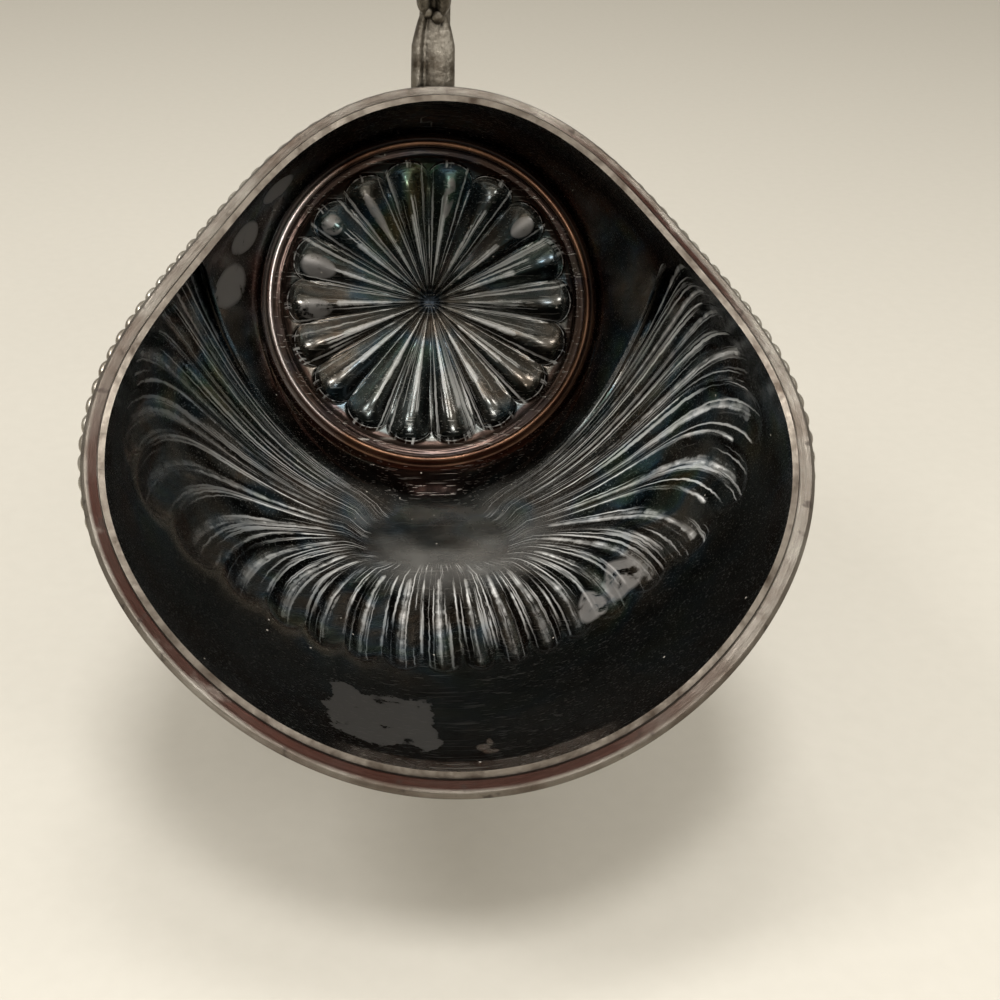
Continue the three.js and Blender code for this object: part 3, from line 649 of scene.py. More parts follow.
# %% Back ring
ring_profile = [
    (RING_INNER, -0.3), (RING_INNER, 0.8), (RING_INNER + 0.25, 1.15), (RING_INNER + 0.6, 1.3),
    (RING_INNER + 0.95, 1.15), (RING_INNER + 1.2, 0.7), (BACK_OPENING - 0.45, 0.15), (RING_OUTER - 0.5, -0.1),
    (RING_OUTER - 0.1, -0.45), (RING_OUTER, -0.9), (RING_OUTER - 0.1, -1.4), (RING_OUTER - 0.35, -1.8),
    (RING_OUTER - 0.75, -2.2), (RING_OUTER - 1.2, -2.4), (RING_INNER + 0.6, -2.3), (RING_INNER + 0.35, -1.6),
    (RING_INNER + 0.35, -0.3),
]
back_axis = (0, -cos(AXIS_TILT), sin(AXIS_TILT))
back_centre = (0, BACK_TO_ORIGIN, BACK_HEIGHT)
ring = spun("back_ring_moulding", ring_profile, 180, back_centre, back_axis, (1, 0, 0), 0.12)
finish_piece(ring, "back_ring", 30)

# %% [markdown]
# ## The rim
# A flat wire stiffens the mouth. It is bent round the sheet's edge and filed: a slightly hollow face, a
# bevel and a back that hugs the wall. Its grid runs once round the mouth, with its seam at the top behind
# the handle, and once round the wire's section.

# %% Rim
MOUNT_DEPTH = 1.6
MOUNT_BACK = 1.1  # height of its back edge above the sheet


def mount_reach(phi):
    """How far the mount reaches behind the sheet's edge: more at the top, where it leans over the wall."""
    along = unit(wall(1, phi) - wall(0.99, phi))
    lag = ((outside_rim(phi, 0, 0) - from_axis(rim_place(phi, 0))) * along).sum(-1)
    return MOUNT_DEPTH + np.maximum(0, lag - 0.2) * 0.95


def refine(corners, steps):
    """Adds steps places along each side of a closed outline, given as one array of places per corner."""
    rows = []
    for here, there in zip(corners, corners[1:] + corners[:1]):
        rows += [here + (there - here) * k / steps for k in range(steps)]
    return np.stack(rows + [corners[0]], 1)


phi = pi + 2 * pi * np.arange(481) / 480
reach = mount_reach(phi)
mount_corners = [
    outside_rim(phi, 0.02, TOUCH),
    from_axis(rim_place(phi, RIM_WIDTH * 0.66, 0.02)),
    from_axis(rim_place(phi, RIM_WIDTH * 0.42, 0.14)),
    from_axis(rim_place(phi, RIM_WIDTH * 0.2, 0)),
    from_axis(rim_place(phi, 0, BEVEL)),
    outside_rim(phi, reach, MOUNT_BACK),
    outside_rim(phi, reach, TOUCH),
]
mount = formed_grid("mouth_mount_wire", refine(mount_corners, 2))
close_seams(mount)
soften(mount, 0.16, 12)
finish_piece(mount, "mouth_mount", 35)

# %% [markdown]
# ## The lobed border
# Behind the rim runs a gadroon border, a row of small round lobes that lean away from the lip. It was
# struck in two lengths that meet at the lip and at the top. Both are made by one formula, mirrored, and
# each has its own mesh. The lobes were rubbed down by a hundred years of polishing.

# %% Gadroon borders
PER_LOBE = 10
BORDER_LENGTH = 151
LOBE_PITCH = 2.7
BORDER_WIDTH = 2.4
LOBE_SHOWS = (0.8, 0.85, 0.25)  # how far a new lobe stands past the rim, at the bottom, the side and the top
RUBBED_DOWN = 0.25
LOBE_HOLLOW = 0.6
LEAN = 0.55  # how much of a lobe's width it leans over the border's width
BORDER_GAP = 0.4  # between the two lengths at the lip, to each side


def lobe_height(phi, distance):
    """Height above the sheet of a lobe's top, which stands just past the rim's outer edge."""
    foot = outside_rim(phi, distance, 0)
    up = outside_rim(phi, distance, 1) - foot
    edge = from_axis(rim_place(phi, 0, BEVEL))
    return ((edge - foot) * up).sum(-1) + around(phi, *LOBE_SHOWS) - RUBBED_DOWN


def border_section(tops, along, across):
    """Height above the wall at a place along the lobes (counted) and across the border (0 to 1)."""
    place = np.abs(2 * ((along + LEAN * (across - 0.5)) % 1) - 1)
    lobe = tops - LOBE_HOLLOW * place ** 2.4
    dome = np.sqrt(np.clip(1 - np.abs(2 * across - 1) ** 3, 0, 1))
    return TOUCH + (lobe - TOUCH) * dome


def mouth_border(name, sign):
    lobes = round(BORDER_LENGTH / LOBE_PITCH)
    gap = BORDER_GAP / MOUTH_EGG[0]
    along = np.linspace(0, lobes, lobes * PER_LOBE + 1)
    phi = sign * (gap + (pi - 2 * gap) * along / lobes)
    near = mount_reach(phi) + TOUCH
    across = 0.5 - 0.5 * np.cos(np.linspace(0, pi, 13))
    tops = lobe_height(phi, near + BORDER_WIDTH * 0.45)
    rows = [outside_rim(phi, near + BORDER_WIDTH * v, border_section(tops, along, v)) for v in across]
    rows += [outside_rim(phi, near + BORDER_WIDTH * v, TOUCH) for v in (0.66, 0.33, 0)]
    return formed_grid(name, close_ends(np.stack(rows, 1)))


def close_ends(table):
    """Draws both ends of a bar together in their middles."""
    first, last = (table[k][:-1].mean(0) + 0 * table[k] for k in (0, -1))
    return np.concatenate([first[None], table, last[None]])


for name, sign in (("gadroon_border_right", 1), ("gadroon_border_left", -1)):
    border = mouth_border(name.replace("gadroon_border", "mouth_lobes"), sign)
    close_seams(border)
    finish_piece(border, name, 60)

# %% [markdown]
# ## The handle
# The handle is cast: a scroll with two rolled edges and a hollow between them, which faces outwards. It is
# swept along a smooth line in an upright plane. Only its lowest few millimetres are in the photograph; the
# rest has the usual line of such a handle.

# %% Sizes of the handle
# Its line is a row of (Y, Z) places counted from the back plate's centre.
HANDLE_FRONT = -26
HANDLE_LEFT = 1
HANDLE_TURN = 0.05  # its plane is turned by about 3 degrees
HANDLE_LINE = [(-26.2, 59.4), (-27.4, 66), (-23.5, 75.5), (-13.5, 82.5), (-1, 83.2), (10, 77.5),
               (16.6, 67), (16.8, 55), (13.2, 45.6)]
HANDLE_WIDTH = 5.6
HANDLE_DEPTH = 4.0
HANDLE_GROOVE = 1.5
NECK_SHARE = 0.72  # of the handle's section at its two ends
NECK_RUN = 0.14
NOTCH_REACH = [(-25.95, 58.2), (13.0, 44.1)]  # the casting runs on into the beads, with no gap
SWEEP_GAP = 0.985  # keeps the finer loop inside the CAD node's
print("handle rises to", BACK_HEIGHT + max(z for _, z in HANDLE_LINE), "mm along its middle line")


# %% Helpers for swept pieces
def in_handle(y, z, beside=0.0):
    """A place in the handle's plane or beside it, from (Y, Z) counted from the back plate's centre."""
    across = HANDLE_TURN * (y - HANDLE_FRONT) - HANDLE_LEFT + beside
    return np.array((across, y + BACK_TO_ORIGIN, z + BACK_HEIGHT))


def smooth_line(places, count):
    """Centripetal curve through (Y, Z) places given from the back plate's centre, in millimetres."""
    p = np.array([in_handle(y, z) for y, z in places])
    p = np.concatenate([[2 * p[0] - p[1]], p, [2 * p[-1] - p[-2]]])
    line = []
    for t in np.linspace(0, 1, count):
        at = t * (len(places) - 1)
        i = min(int(at), len(places) - 2)
        w, a, b, c, d = at - i, *p[i:i + 4]
        k0, k1, k2 = (np.linalg.norm(q - r) ** 0.5 for q, r in ((b, a), (c, b), (d, c)))
        m1 = ((b - a) / k0 - (c - a) / (k0 + k1) + (c - b) / k1) * k1
        m2 = ((c - b) / k1 - (d - b) / (k1 + k2) + (d - c) / k2) * k1
        line.append(b + m1 * w + (3 * (c - b) - 2 * m1 - m2) * w ** 2 + (2 * (b - c) + m1 + m2) * w ** 3)
    return np.array(line)


def swept(name, places, steps, outline):
    """Sweeps outline(t), rows of (across, outwards) in millimetres, along a line in the handle's plane."""
    line = smooth_line(places, steps + 1)
    tangent = unit(np.gradient(line, axis=0))
    out = np.stack([0 * tangent[:, 0], -tangent[:, 2], tangent[:, 1]], -1)
    table = []
    for k in range(steps + 1):
        across, outwards = np.array(outline(k / steps)).T
        table.append(line[k] + outwards[:, None] * out[k] + across[:, None] * np.array([1.0, 0, 0]))
    table = np.array(table)
    piece = formed_grid(name, close_ends(np.concatenate([table, table[:, :1]], 1)))
    close_seams(piece)
    return piece


def handle_corners(width, depth, groove):
    w, d = width / 2, depth / 2
    return [(-w * 0.55, -d), (0, -d * 1.1), (w * 0.55, -d), (w, -d * 0.2), (w, d * 0.55), (w * 0.75, d),
            (w * 0.42, d * 0.8), (0, d - groove), (-w * 0.42, d * 0.8), (-w * 0.75, d), (-w, d * 0.55),
            (-w, -d * 0.2)]


def rounded(corners, per_side=4):
    """A smooth closed outline through the corners."""
    loop = [corners[-1]] + list(corners) + list(corners[:2])
    steps = len(corners) * per_side
    return [tuple(spline(loop, (1 + k / per_side) / (len(loop) - 1))) for k in range(steps)]


print("handle's section has", len(rounded(handle_corners(1, 1, 1))), "places round it")


# %% Handle loop
def loop_outline(t):
    full = (NECK_SHARE + (1 - NECK_SHARE) * min(1, min(t, 1 - t) / NECK_RUN)) * SWEEP_GAP
    return rounded(handle_corners(HANDLE_WIDTH * full, HANDLE_DEPTH * full, HANDLE_GROOVE * full))


loop = swept("scroll_handle", NOTCH_REACH[:1] + HANDLE_LINE + NOTCH_REACH[1:], 190, loop_outline)
finish_piece(loop, "handle_loop", 60)

# %% [markdown]
# ## The leaves
# A cast leaf carries each end of the handle. In the photograph the front one has a rolled edge on its left
# and a tongue that swells on its right, with a crease between them. The outline below has these as two
# bumps whose heights change along the leaf. The leaf's foot is cut off with Bisect along the plane of the
# sheet it stands on.

# %% Leaf outline
FRONT_BEADS = (-25.9, 57.9)
REAR_BEADS = (12.7, 43.9)
FRONT_LEAF_LINE = [(-28.4, 43.5), (-28.4, 48.5), (-27, 53.2), (-26, 56.2)]
REAR_LEAF_LINE = [(8.9, 31.4), (9.6, 35.6), (10.9, 39), (12.1, 42.2)]
LEAF_WIDTHS = (7, 7, 6.9, 5.4, 4.3)  # the shoulder is as broad as the photographed leaf's, up into the notch
LEAF_DEPTHS = (4.6, 3.8, 3, 2.6, 2.4)


def between(values, t):
    """Reads a row of evenly spaced values at t, from 0 to 1."""
    at = min(t * (len(values) - 1), len(values) - 1.001)
    return values[int(at)] * (1 - at % 1) + values[int(at) + 1] * (at % 1)


def leaf_outline(t, mirrored):
    w, d = between(LEAF_WIDTHS, t) / 2, between(LEAF_DEPTHS, t) / 2
    a = np.linspace(-1, 1, 33)
    edge = np.sqrt(np.clip(1 - a ** 6, 0, 1))
    roll = 0.34 * hump(a, -0.72, 0.2)
    tongue = (0.42 - 0.3 * t) * hump(a, 0.22, 0.42)
    crease = -0.18 * hump(a, -0.4, 0.12) - 0.22 * t * hump(a, 0.1 + 0.4 * t, 0.12)
    front = d * edge * np.clip(0.55 + roll + tongue + crease, 0, 1)
    behind = -d * np.sqrt(np.clip(1 - a ** 4, 0, 1))
    across = a * w * (-1 if mirrored else 1)
    return list(zip(across, front)) + list(zip(across[-2:0:-1], behind[-2:0:-1]))


print("leaf", LEAF_WIDTHS[0], "mm wide at its foot and", LEAF_WIDTHS[-1], "mm in the notch")


# %% Leaves
def leaf(name, places, beads, mirrored):
    piece = swept(name, places + [beads], 44, lambda t: leaf_outline(t, mirrored))
    u = np.linspace(0, 1, 400)
    top = wall(u, pi) + wall_normal(u, pi + 0 * u) * (SHEET - 0.1)
    foot = int(np.argmin(np.abs(top[:, 1] - BACK_TO_ORIGIN - places[1][0] + 0.1)))
    bpy.ops.object.mode_set(mode="EDIT")
    bpy.ops.mesh.select_all(action="SELECT")
    bpy.ops.mesh.bisect(plane_co=top[foot] / 1000, plane_no=wall_normal(u, pi + 0 * u)[foot],
                        use_fill=True, clear_inner=True)
    bpy.ops.mesh.select_all(action="SELECT")
    bpy.ops.mesh.normals_make_consistent(inside=False)
    bpy.ops.object.mode_set(mode="OBJECT")
    return piece


front_leaf = leaf("front_leaf_casting", FRONT_LEAF_LINE, FRONT_BEADS, False)
finish_piece(front_leaf, "handle_front_leaf", 50)
rear_leaf = leaf("rear_leaf_casting", REAR_LEAF_LINE, REAR_BEADS, True)
finish_piece(rear_leaf, "handle_rear_leaf", 50)

# %% [markdown]
# Two small beads sit in the notch between a leaf and the handle. The left one is smaller and a little
# higher.

# %% Bead pairs
BEADS = ((-0.9025, 0.35, 0.95), (0.7125, -0.3, 1.15))  # each bead's place across, its lift and its radius
BEADS_OUT = 0.75  # they stand this far out of the handle's line


def bead_pair(name, y, z, outwards):
    deselect()
    for x, lift, radius in BEADS:
        place = in_handle(y + BEADS_OUT * outwards, z + lift, x) / 1000
        bpy.ops.mesh.primitive_uv_sphere_add(segments=32, ring_count=20, radius=radius / 1000, location=place)
        bpy.ops.object.transform_apply(location=True)
    for piece in bpy.context.scene.objects:
        piece.select_set(piece.name.startswith("Sphere"))
    bpy.ops.object.join()
    pair = bpy.context.object
    pair.name = pair.data.name = name
    ripple = [v * (1 + 0.03 * noise.noise(Vector(v) / 0.8)) for v in (vertices(pair) * 1000 - place * 1000)]
    move_vertices(pair, np.array(ripple) + place * 1000)
    return pair


for end, place, outwards in (("front", FRONT_BEADS, -1), ("rear", REAR_BEADS, 1)):
    finish_piece(bead_pair(f"notch_{end}_bead", *place, outwards), f"handle_{end}_bead", 60)

# %% [markdown]
# ## The foot
# The photograph hides the foot, but the smooth seat inside shows where it is soldered on. It gets the usual
# round foot of such a piece: a collar, a spun pedestal that is hollow below, a lobed border like the
# mouth's and a flat wire ring that stands on the table.

# %% Sizes of the foot
FOOT_RADIUS = 30.0
COLLAR_TOP = BACK_HEIGHT + SEAT_LEVEL - SHEET - 0.3
COLLAR_HEIGHT = 2.2
NECK_RADIUS = 8.6
FOOT_WALL = 1.2
WIRE_HEIGHT = 1.6
WIRE_WIDTH = 3.6
FOOT_BORDER_INSET = 3.2
print("foot", 2 * FOOT_RADIUS, "mm across and", round(COLLAR_TOP, 1), "mm high")

# %% Foot collar
UP, RIGHT = (0, 0, 1), (1, 0, 0)
foot_centre = (0, FOOT_CENTRE, 0)
low = COLLAR_TOP - COLLAR_HEIGHT
collar_profile = [
    (NECK_RADIUS, low), (SEAT_FLAT, low), (SEAT_FLAT + 0.65, low + 0.35), (SEAT_FLAT + 0.8, low + 0.8),
    (SEAT_FLAT + 0.6, low + 1.3), (SEAT_FLAT, low + 1.7), (SEAT_FLAT - 0.6, COLLAR_TOP + 0.25),
    (NECK_RADIUS, COLLAR_TOP + 0.25),
]
collar = spun("foot_collar_ring", collar_profile, 120, foot_centre, UP, RIGHT, 0.12)
finish_piece(collar, "foot_collar", 30)

# %% Foot pedestal
top, base = low - TOUCH, WIRE_HEIGHT + TOUCH
wide = FOOT_RADIUS - FOOT_BORDER_INSET
flank = [(SEAT_FLAT - 0.6, top), (NECK_RADIUS + 1.2, top - 1.4), (NECK_RADIUS + 0.8, top - 3.4),
         (NECK_RADIUS + 2.4, top - 6.2), (NECK_RADIUS + 6.6, top - 8.8), (NECK_RADIUS + 11.6, top - 10.6),
         (wide - 2.6, base + 3.4), (wide - 0.5, base + 2.2), (wide, base)]
outer = [tuple(spline(flank, k / 40)) for k in range(41)]
inner = [(r - FOOT_WALL, z - (FOOT_WALL * 0.7 if 0 < k < 40 else 0)) for k, (r, z) in enumerate(outer)]
pedestal = spun("foot_pedestal_spinning", outer + inner[::-1], 160, foot_centre, UP, RIGHT, 0.1)
finish_piece(pedestal, "foot_pedestal", 30)

# %% Foot base wire
outside = FOOT_RADIUS - 0.3
wire_profile = [
    (FOOT_RADIUS - WIRE_WIDTH, 0), (outside, 0), (FOOT_RADIUS, 0.4), (FOOT_RADIUS, WIRE_HEIGHT - 0.4),
    (outside, WIRE_HEIGHT), (FOOT_RADIUS - WIRE_WIDTH, WIRE_HEIGHT),
]
wire = spun("foot_base_ring", wire_profile, 160, foot_centre, UP, RIGHT, 0.15)
finish_piece(wire, "foot_base_wire", 30)

# %% Foot border
FOOT_LOBES = 60
FOOT_LOBE_REACH = 2.1


def foot_border():
    inner = FOOT_RADIUS - FOOT_BORDER_INSET + TOUCH
    along = np.linspace(0, FOOT_LOBES, FOOT_LOBES * PER_LOBE + 1)
    turn = 2 * pi * along / FOOT_LOBES
    rows = []
    for v in np.linspace(0, 1, 11):
        lobe = 1 - np.abs(2 * ((along + LEAN * v) % 1) - 1) ** 2.4
        radius = inner + (FOOT_LOBE_REACH + 0.55 * lobe) * sin(v * pi / 2)
        height = WIRE_HEIGHT + TOUCH + (1.6 + 0.28 * lobe) * cos(v * pi / 2)
        rows.append(np.stack([radius * np.cos(turn), FOOT_CENTRE + radius * np.sin(turn), height], -1))
    for share in (0.5, 0):
        radius = inner + FOOT_LOBE_REACH * share
        rows.append(np.stack([radius * np.cos(turn), FOOT_CENTRE + radius * np.sin(turn),
                              WIRE_HEIGHT + TOUCH + 0 * turn], -1))
    rows.append(rows[0])
    return formed_grid("foot_lobes", np.stack(rows, 1))


lobes = foot_border()
close_seams(lobes)
finish_piece(lobes, "foot_border", 60)

# %% [markdown]
# ## Materials
# All of the object is silver plate, in several states of wear. Colours are written as sRGB hex values, and
# one function turns them to the linear numbers that the renderer works with. One function adds a node with
# its settings and its links. Every finish is a metal with the default IOR, so its base colour is what it
# mirrors with.

# %% Helpers for materials
def hex_colour(text):
    parts = [int(text[i:i + 2], 16) / 255 for i in (1, 3, 5)]
    return [v / 12.92 if v <= 0.04045 else ((v + 0.055) / 1.055) ** 2.4 for v in parts] + [1]


def add(tree, kind, settings, sockets):
    """Adds a node. A socket gets a value, a hex colour or a link from another node's output."""
    made = tree.nodes.new("ShaderNode" + kind)
    for key, value in settings.items():
        if key == "stops":
            while len(made.color_ramp.elements) < len(value):
                made.color_ramp.elements.new(0.5)
            for element, (place, colour) in zip(made.color_ramp.elements, value):
                element.position, element.color = place, hex_colour(colour)
        else:
            setattr(made, key, value)
    for key, value in sockets.items():
        if isinstance(value, bpy.types.NodeSocket):
            tree.links.new(value, made.inputs[key])
        else:
            made.inputs[key].default_value = hex_colour(value) if isinstance(value, str) else value
    return made.outputs


def new_material(name):
    material = bpy.data.materials.new(name)
    material.use_nodes = True
    material.node_tree.nodes.clear()
    return material, material.node_tree


def surface(tree, sockets):
    shader = add(tree, "BsdfPrincipled", {}, sockets)
    add(tree, "OutputMaterial", {}, {"Surface": shader["BSDF"]})


COLOUR = {"data_type": "RGBA"}  # socket 0 is the share, 6 and 7 the colours, output 2 the result
NUMBER = {"data_type": "FLOAT"}  # socket 0 is the share, 2 and 3 the numbers, output 0 the result
PRODUCT = {"operation": "MULTIPLY"}
LARGER = {"operation": "MAXIMUM"}
PRODUCT_PLUS = {"operation": "MULTIPLY_ADD"}  # socket 0 times socket 1, plus socket 2
REST = {"operation": "SUBTRACT"}  # with 1 in socket 0, what is left of 1
print("#808080 is", round(hex_colour("#808080")[0], 3), "in linear numbers")

# %% [markdown]
# ### Patterns
# A pattern here is a mask, a number from 0 to 1 for each place on the surface. It is a soft band in one of
# the maps that the bowl carries, or clouds of noise, or both multiplied, because wear has few straight
# borders. Object coordinates are in metres, so a noise's scale is worked out from the size of its lumps in
# millimetres.

# %% Helpers for patterns
def lumps(size_mm):
    """The scale of a noise whose lumps have about this size."""
    return 1000 / size_mm


def band(tree, value, low, high, soft):
    """A mask that is 1 where a value lies between low and high, with soft ends."""
    rise = add(tree, "MapRange", {}, {"Value": value, 1: low - soft, 2: low + soft, 3: 0.0, 4: 1.0})[0]
    fall = add(tree, "MapRange", {}, {"Value": value, 1: high - soft, 2: high + soft, 3: 1.0, 4: 0.0})[0]
    return add(tree, "Math", PRODUCT, {0: rise, 1: fall})[0]


def noise_mask(tree, place, scale, low, high, detail=4.0):
    """Clouds of noise with their contrast set: 0 below low and 1 above high."""
    cloud = add(tree, "TexNoise", {}, {
        "Vector": place, "Scale": scale, "Detail": detail, "Roughness": 0.6})[0]
    return add(tree, "MapRange", {}, {"Value": cloud, 1: low, 2: high, 3: 0.0, 4: 1.0})[0]


def hairlines(tree, place, turned, length_mm, width_mm, amount):
    """Hair scratches: noise stretched along one direction, of which only the peaks are kept."""
    scale = (1000 / length_mm, 1000 / width_mm, 1000 / width_mm)
    line = add(tree, "Mapping", {}, {"Vector": place, "Rotation": turned, "Scale": scale})[0]
    return noise_mask(tree, line, 1.0, 0.78 - amount, 0.82 - amount, 1.0)


def spots(tree, first, second, places):
    """Oval patches in two coordinates, each given by its place and its two radii."""
    total = 0.0
    for a, b, a_radius, b_radius in places:
        x = add(tree, "Math", PRODUCT_PLUS, {0: first, 1: 1 / a_radius, 2: -a / a_radius})[0]
        y = add(tree, "Math", PRODUCT_PLUS, {0: second, 1: 1 / b_radius, 2: -b / b_radius})[0]
        y_squared = add(tree, "Math", PRODUCT, {0: y, 1: y})[0]
        away = add(tree, "Math", PRODUCT_PLUS, {0: x, 1: x, 2: y_squared})[0]
        spot = add(tree, "MapRange", {}, {"Value": away, 1: 0.75, 2: 1.15, 3: 1.0, 4: 0.0})[0]
        total = add(tree, "Math", LARGER, {0: total, 1: spot})[0]
    return total


def painted(tree, base, colour, *masks):
    """Lays a colour over the base where all the masks are high. A plain number thins the coat everywhere."""
    share = masks[0]
    for mask in masks[1:]:
        share = add(tree, "Math", PRODUCT, {0: share, 1: mask})[0]
    return add(tree, "Mix", COLOUR, {0: share, 6: base, 7: colour})[2]


print("a scale of", round(lumps(20)), "makes lumps of 20 mm")

# %% [markdown]
# ### Tarnished silver plate
# Silver that has stood for decades grows a film of silver sulphide. A thin film looks straw yellow, then
# brown, blue and at last black, while the metal under it stays polished. A black gloss paint would be
# simpler, but it would mirror every light as white and lose the tints. So this is a metal whose colour goes
# from grey to nearly black in clouds, with brown, blue and green in them.
#
# The bowl and the plate carry maps for what lies on the film: how near a place is to a flute's crest or
# valley, the flute's number, the stage along it, and the place along and round the wall. On the plate a
# flute is a petal.

# %% Film of tarnish
tarnished, tree = new_material("tarnished_silver_plate")  # to the eye a dark, tinted mirror
place = add(tree, "TexCoord", {}, {})["Object"]
crest, valley, flute, stage, along, turn = (
    add(tree, "Attribute", {"attribute_name": name}, {})["Fac"] for name in MAP_NAMES)
FILM_TINTS = [(0.3, "#d0cac2"), (0.4, "#c8ae96"), (0.47, "#cac4bc"), (0.54, "#94c4e4"), (0.61, "#a9d6ba"),
              (0.7, "#e2ce89")]
tint_cloud = add(tree, "TexNoise", {}, {"Vector": place, "Scale": lumps(14.3), "Detail": 2.0})[0]
film = add(tree, "ValToRGB", {"stops": FILM_TINTS}, {"Fac": tint_cloud})[0]
film = painted(tree, film, "#8e9390", noise_mask(tree, place, lumps(26.3), 0.35, 0.62))
base = painted(tree, film, "#282b2a", 0.74)
print("film of tarnish with", len(FILM_TINTS), "tints")

# %% [markdown]
# Each flute gets pale lines along its crests and in its valley, with black film on the slopes between. They
# are painted highlights, laid as rubbed lines where pale, dull polish has dried, so each flute has bright
# lines that can be seen under any light. They are ragged, as where film comes off in flakes, and streaky
# along the flute.

# %% Helpers for painted highlight lines
def streaks(tree, flakes, flute, stage, counts, low, high, least):
    """Streaks along the flutes, so many in a flute's width and so many in a stage's length."""
    side = add(tree, "Math", PRODUCT, {0: flute, 1: counts[0]})[0]
    side = add(tree, "Math", PRODUCT_PLUS, {0: flakes, 1: 0.9, 2: side})[0]
    length = add(tree, "Math", PRODUCT, {0: stage, 1: counts[1]})[0]
    way = add(tree, "CombineXYZ", {}, {"X": side, "Y": length})[0]
    cloud = add(tree, "TexNoise", {}, {"Vector": way, "Scale": 1.0, "Detail": 3.0})[0]
    return add(tree, "MapRange", {}, {"Value": cloud, 1: low, 2: high, 3: least, 4: 1.0})[0]


def ragged_line(tree, flakes, value, low, high):
    """A line where a map lies above low, with its edges broken by flakes."""
    broken = add(tree, "Math", PRODUCT_PLUS, {0: flakes, 1: 0.3, 2: value})[0]
    return add(tree, "MapRange", {}, {"Value": broken, 1: low + 0.15, 2: high + 0.15, 3: 0.0, 4: 1.0})[0]


print("helpers for rubbed lines ready")

# %% Painted highlight lines
# A flute is about 7 mm wide and a stage of it 25 mm long, so 9 streaks by 2.2 are 0.8 mm wide and 11 mm
# long. The real ones are finer, and these are as coarse as they need to be to show.
BROAD_STREAKS, THIN_STREAKS = (9.0, 2.2), (11.0, 1.0)
flakes = add(tree, "TexNoise", {}, {
    "Vector": place, "Scale": lumps(2.38), "Detail": 4.0, "Roughness": 0.65})[0]
on_plate = band(tree, turn, 179.9, 181.0, 0.05)
lines = add(tree, "Math", LARGER, {0: ragged_line(tree, flakes, crest, 0.79, 0.95),
                                   1: ragged_line(tree, flakes, valley, 0.87, 1.03)})[0]
nearer = add(tree, "Math", LARGER, {0: crest, 1: valley})[0]
on_flutes = add(tree, "MapRange", {}, {"Value": nearer, 1: 0.0, 2: 0.1, 3: 0.0, 4: 1.0})[0]
lines = add(tree, "Math", PRODUCT, {0: lines, 1: on_flutes})[0]
lines = add(tree, "Math", PRODUCT, {
    0: lines, 1: streaks(tree, flakes, flute, stage, BROAD_STREAKS, 0.4, 0.56, 0.1)})[0]
thin = add(tree, "Math", PRODUCT, {0: on_flutes, 1: 0.75})[0]
thin = add(tree, "Math", PRODUCT, {
    0: thin, 1: streaks(tree, flakes, flute, stage, THIN_STREAKS, 0.56, 0.64, 0.0)})[0]
lines = add(tree, "Math", LARGER, {0: lines, 1: thin})[0]

# Round the bottom the painted highlight lines grow faint towards the flutes' tips. They are painted weaker on
# the left flutes than on the middle and the right ones, and the rosette's hub has none.
outwards = add(tree, "MapRange", {}, {"Value": stage, 1: 1.3, 2: 1.9, 3: 0.0, 4: 0.7})[0]
faint = add(tree, "Math", PRODUCT, {0: outwards, 1: band(tree, turn, -90.0, 46.0, 12.0)})[0]
hub = add(tree, "Math", PRODUCT, {0: band(tree, stage, 1.1, 1.255, 0.02), 1: on_plate})[0]
highlit = add(tree, "MapRange", {}, {"Value": band(tree, turn, -48.0, 190.0, 14.0), 3: 0.52, 4: 1.0})[0]
off_tips = add(tree, "Math", REST, {0: 1.0, 1: faint})[0]
off_hub = add(tree, "Math", REST, {0: 1.0, 1: hub})[0]
for share in (off_tips, highlit, off_hub):
    lines = add(tree, "Math", PRODUCT, {0: lines, 1: share})[0]
print("rubbed lines along each crest and valley, and thin streaks between them")

# %% [markdown]
# The film isn't the same all over. The plain lip is darkened, as film with a painted dark reflection on it,
# and the wall below the ring gets painted shade. The film is reddish brown round the ring and grey where the
# seat was rubbed, and a painted highlight lies on the seat's front. Each such place is a mask from the maps,
# and a coat is laid over the last one.

# %% Dark and rubbed places, painted shade and painted highlights
# Between the petals and the ring the plate is a dark coppery brown.
base = painted(tree, base, "#2e1d16", band(tree, stage, 1.738, 1.95, 0.004), on_plate, 0.85)
# Pale lines along the crests and valleys: painted highlights, laid as dried polish.
polish_and_highlight = painted(tree, film, "#faf8f3", 0.88)
base = painted(tree, base, polish_and_highlight, lines)
base = painted(tree, base, "#20262c", hub)
# The plain lip gets a painted dark reflection over its film, and the wall below the ring painted shade.
low_front, past_flutes = band(tree, turn, -75.0, 75.0, 14.0), band(tree, stage, 2.1, 9.0, 0.1)
base = painted(tree, base, "#3b3d3c", low_front, past_flutes, 0.8)
low_back, by_ring = band(tree, turn, -60.0, 60.0, 20.0), band(tree, along, -1.0, 0.13, 0.03)
base = painted(tree, base, "#2b2826", low_back, by_ring, 0.9)
# A worn red-brown band lies round the ring.
reddish = noise_mask(tree, place, lumps(16.67), 0.35, 0.6)
base = painted(tree, base, "#4a2e24", band(tree, along, -1.0, 0.1, 0.035), reddish, 0.75)
# A pale brown line runs along the flutes' ends on the left.
flute_ends, on_left = band(tree, stage, 1.97, 2.07, 0.03), band(tree, turn, -86.0, -18.0, 6.0)
base = painted(tree, base, "#b3a595", flute_ends, on_left, 0.6)
# The seat of the foot is rubbed grey, and its front carries a lighter painted highlight.
seat_clouds = noise_mask(tree, place, lumps(20), 0.3, 0.75)
seat = add(tree, "Math", PRODUCT, {0: band(tree, stage, -1.0, 1.1, 0.2), 1: seat_clouds})[0]
base = painted(tree, base, "#bcb7ae", seat, 0.5)
# A painted highlight on the seat's front edge.
front = add(tree, "Math", PRODUCT, {
    0: band(tree, stage, 0.35, 1.15, 0.15), 1: band(tree, along, 0.27, 0.6, 0.03)})[0]
front = add(tree, "Math", PRODUCT, {0: front, 1: band(tree, turn, -14.0, 34.0, 8.0)})[0]
base = painted(tree, base, "#cfcbc4", front, 0.4)
print("coats laid on the lip, the seat and round the ring")
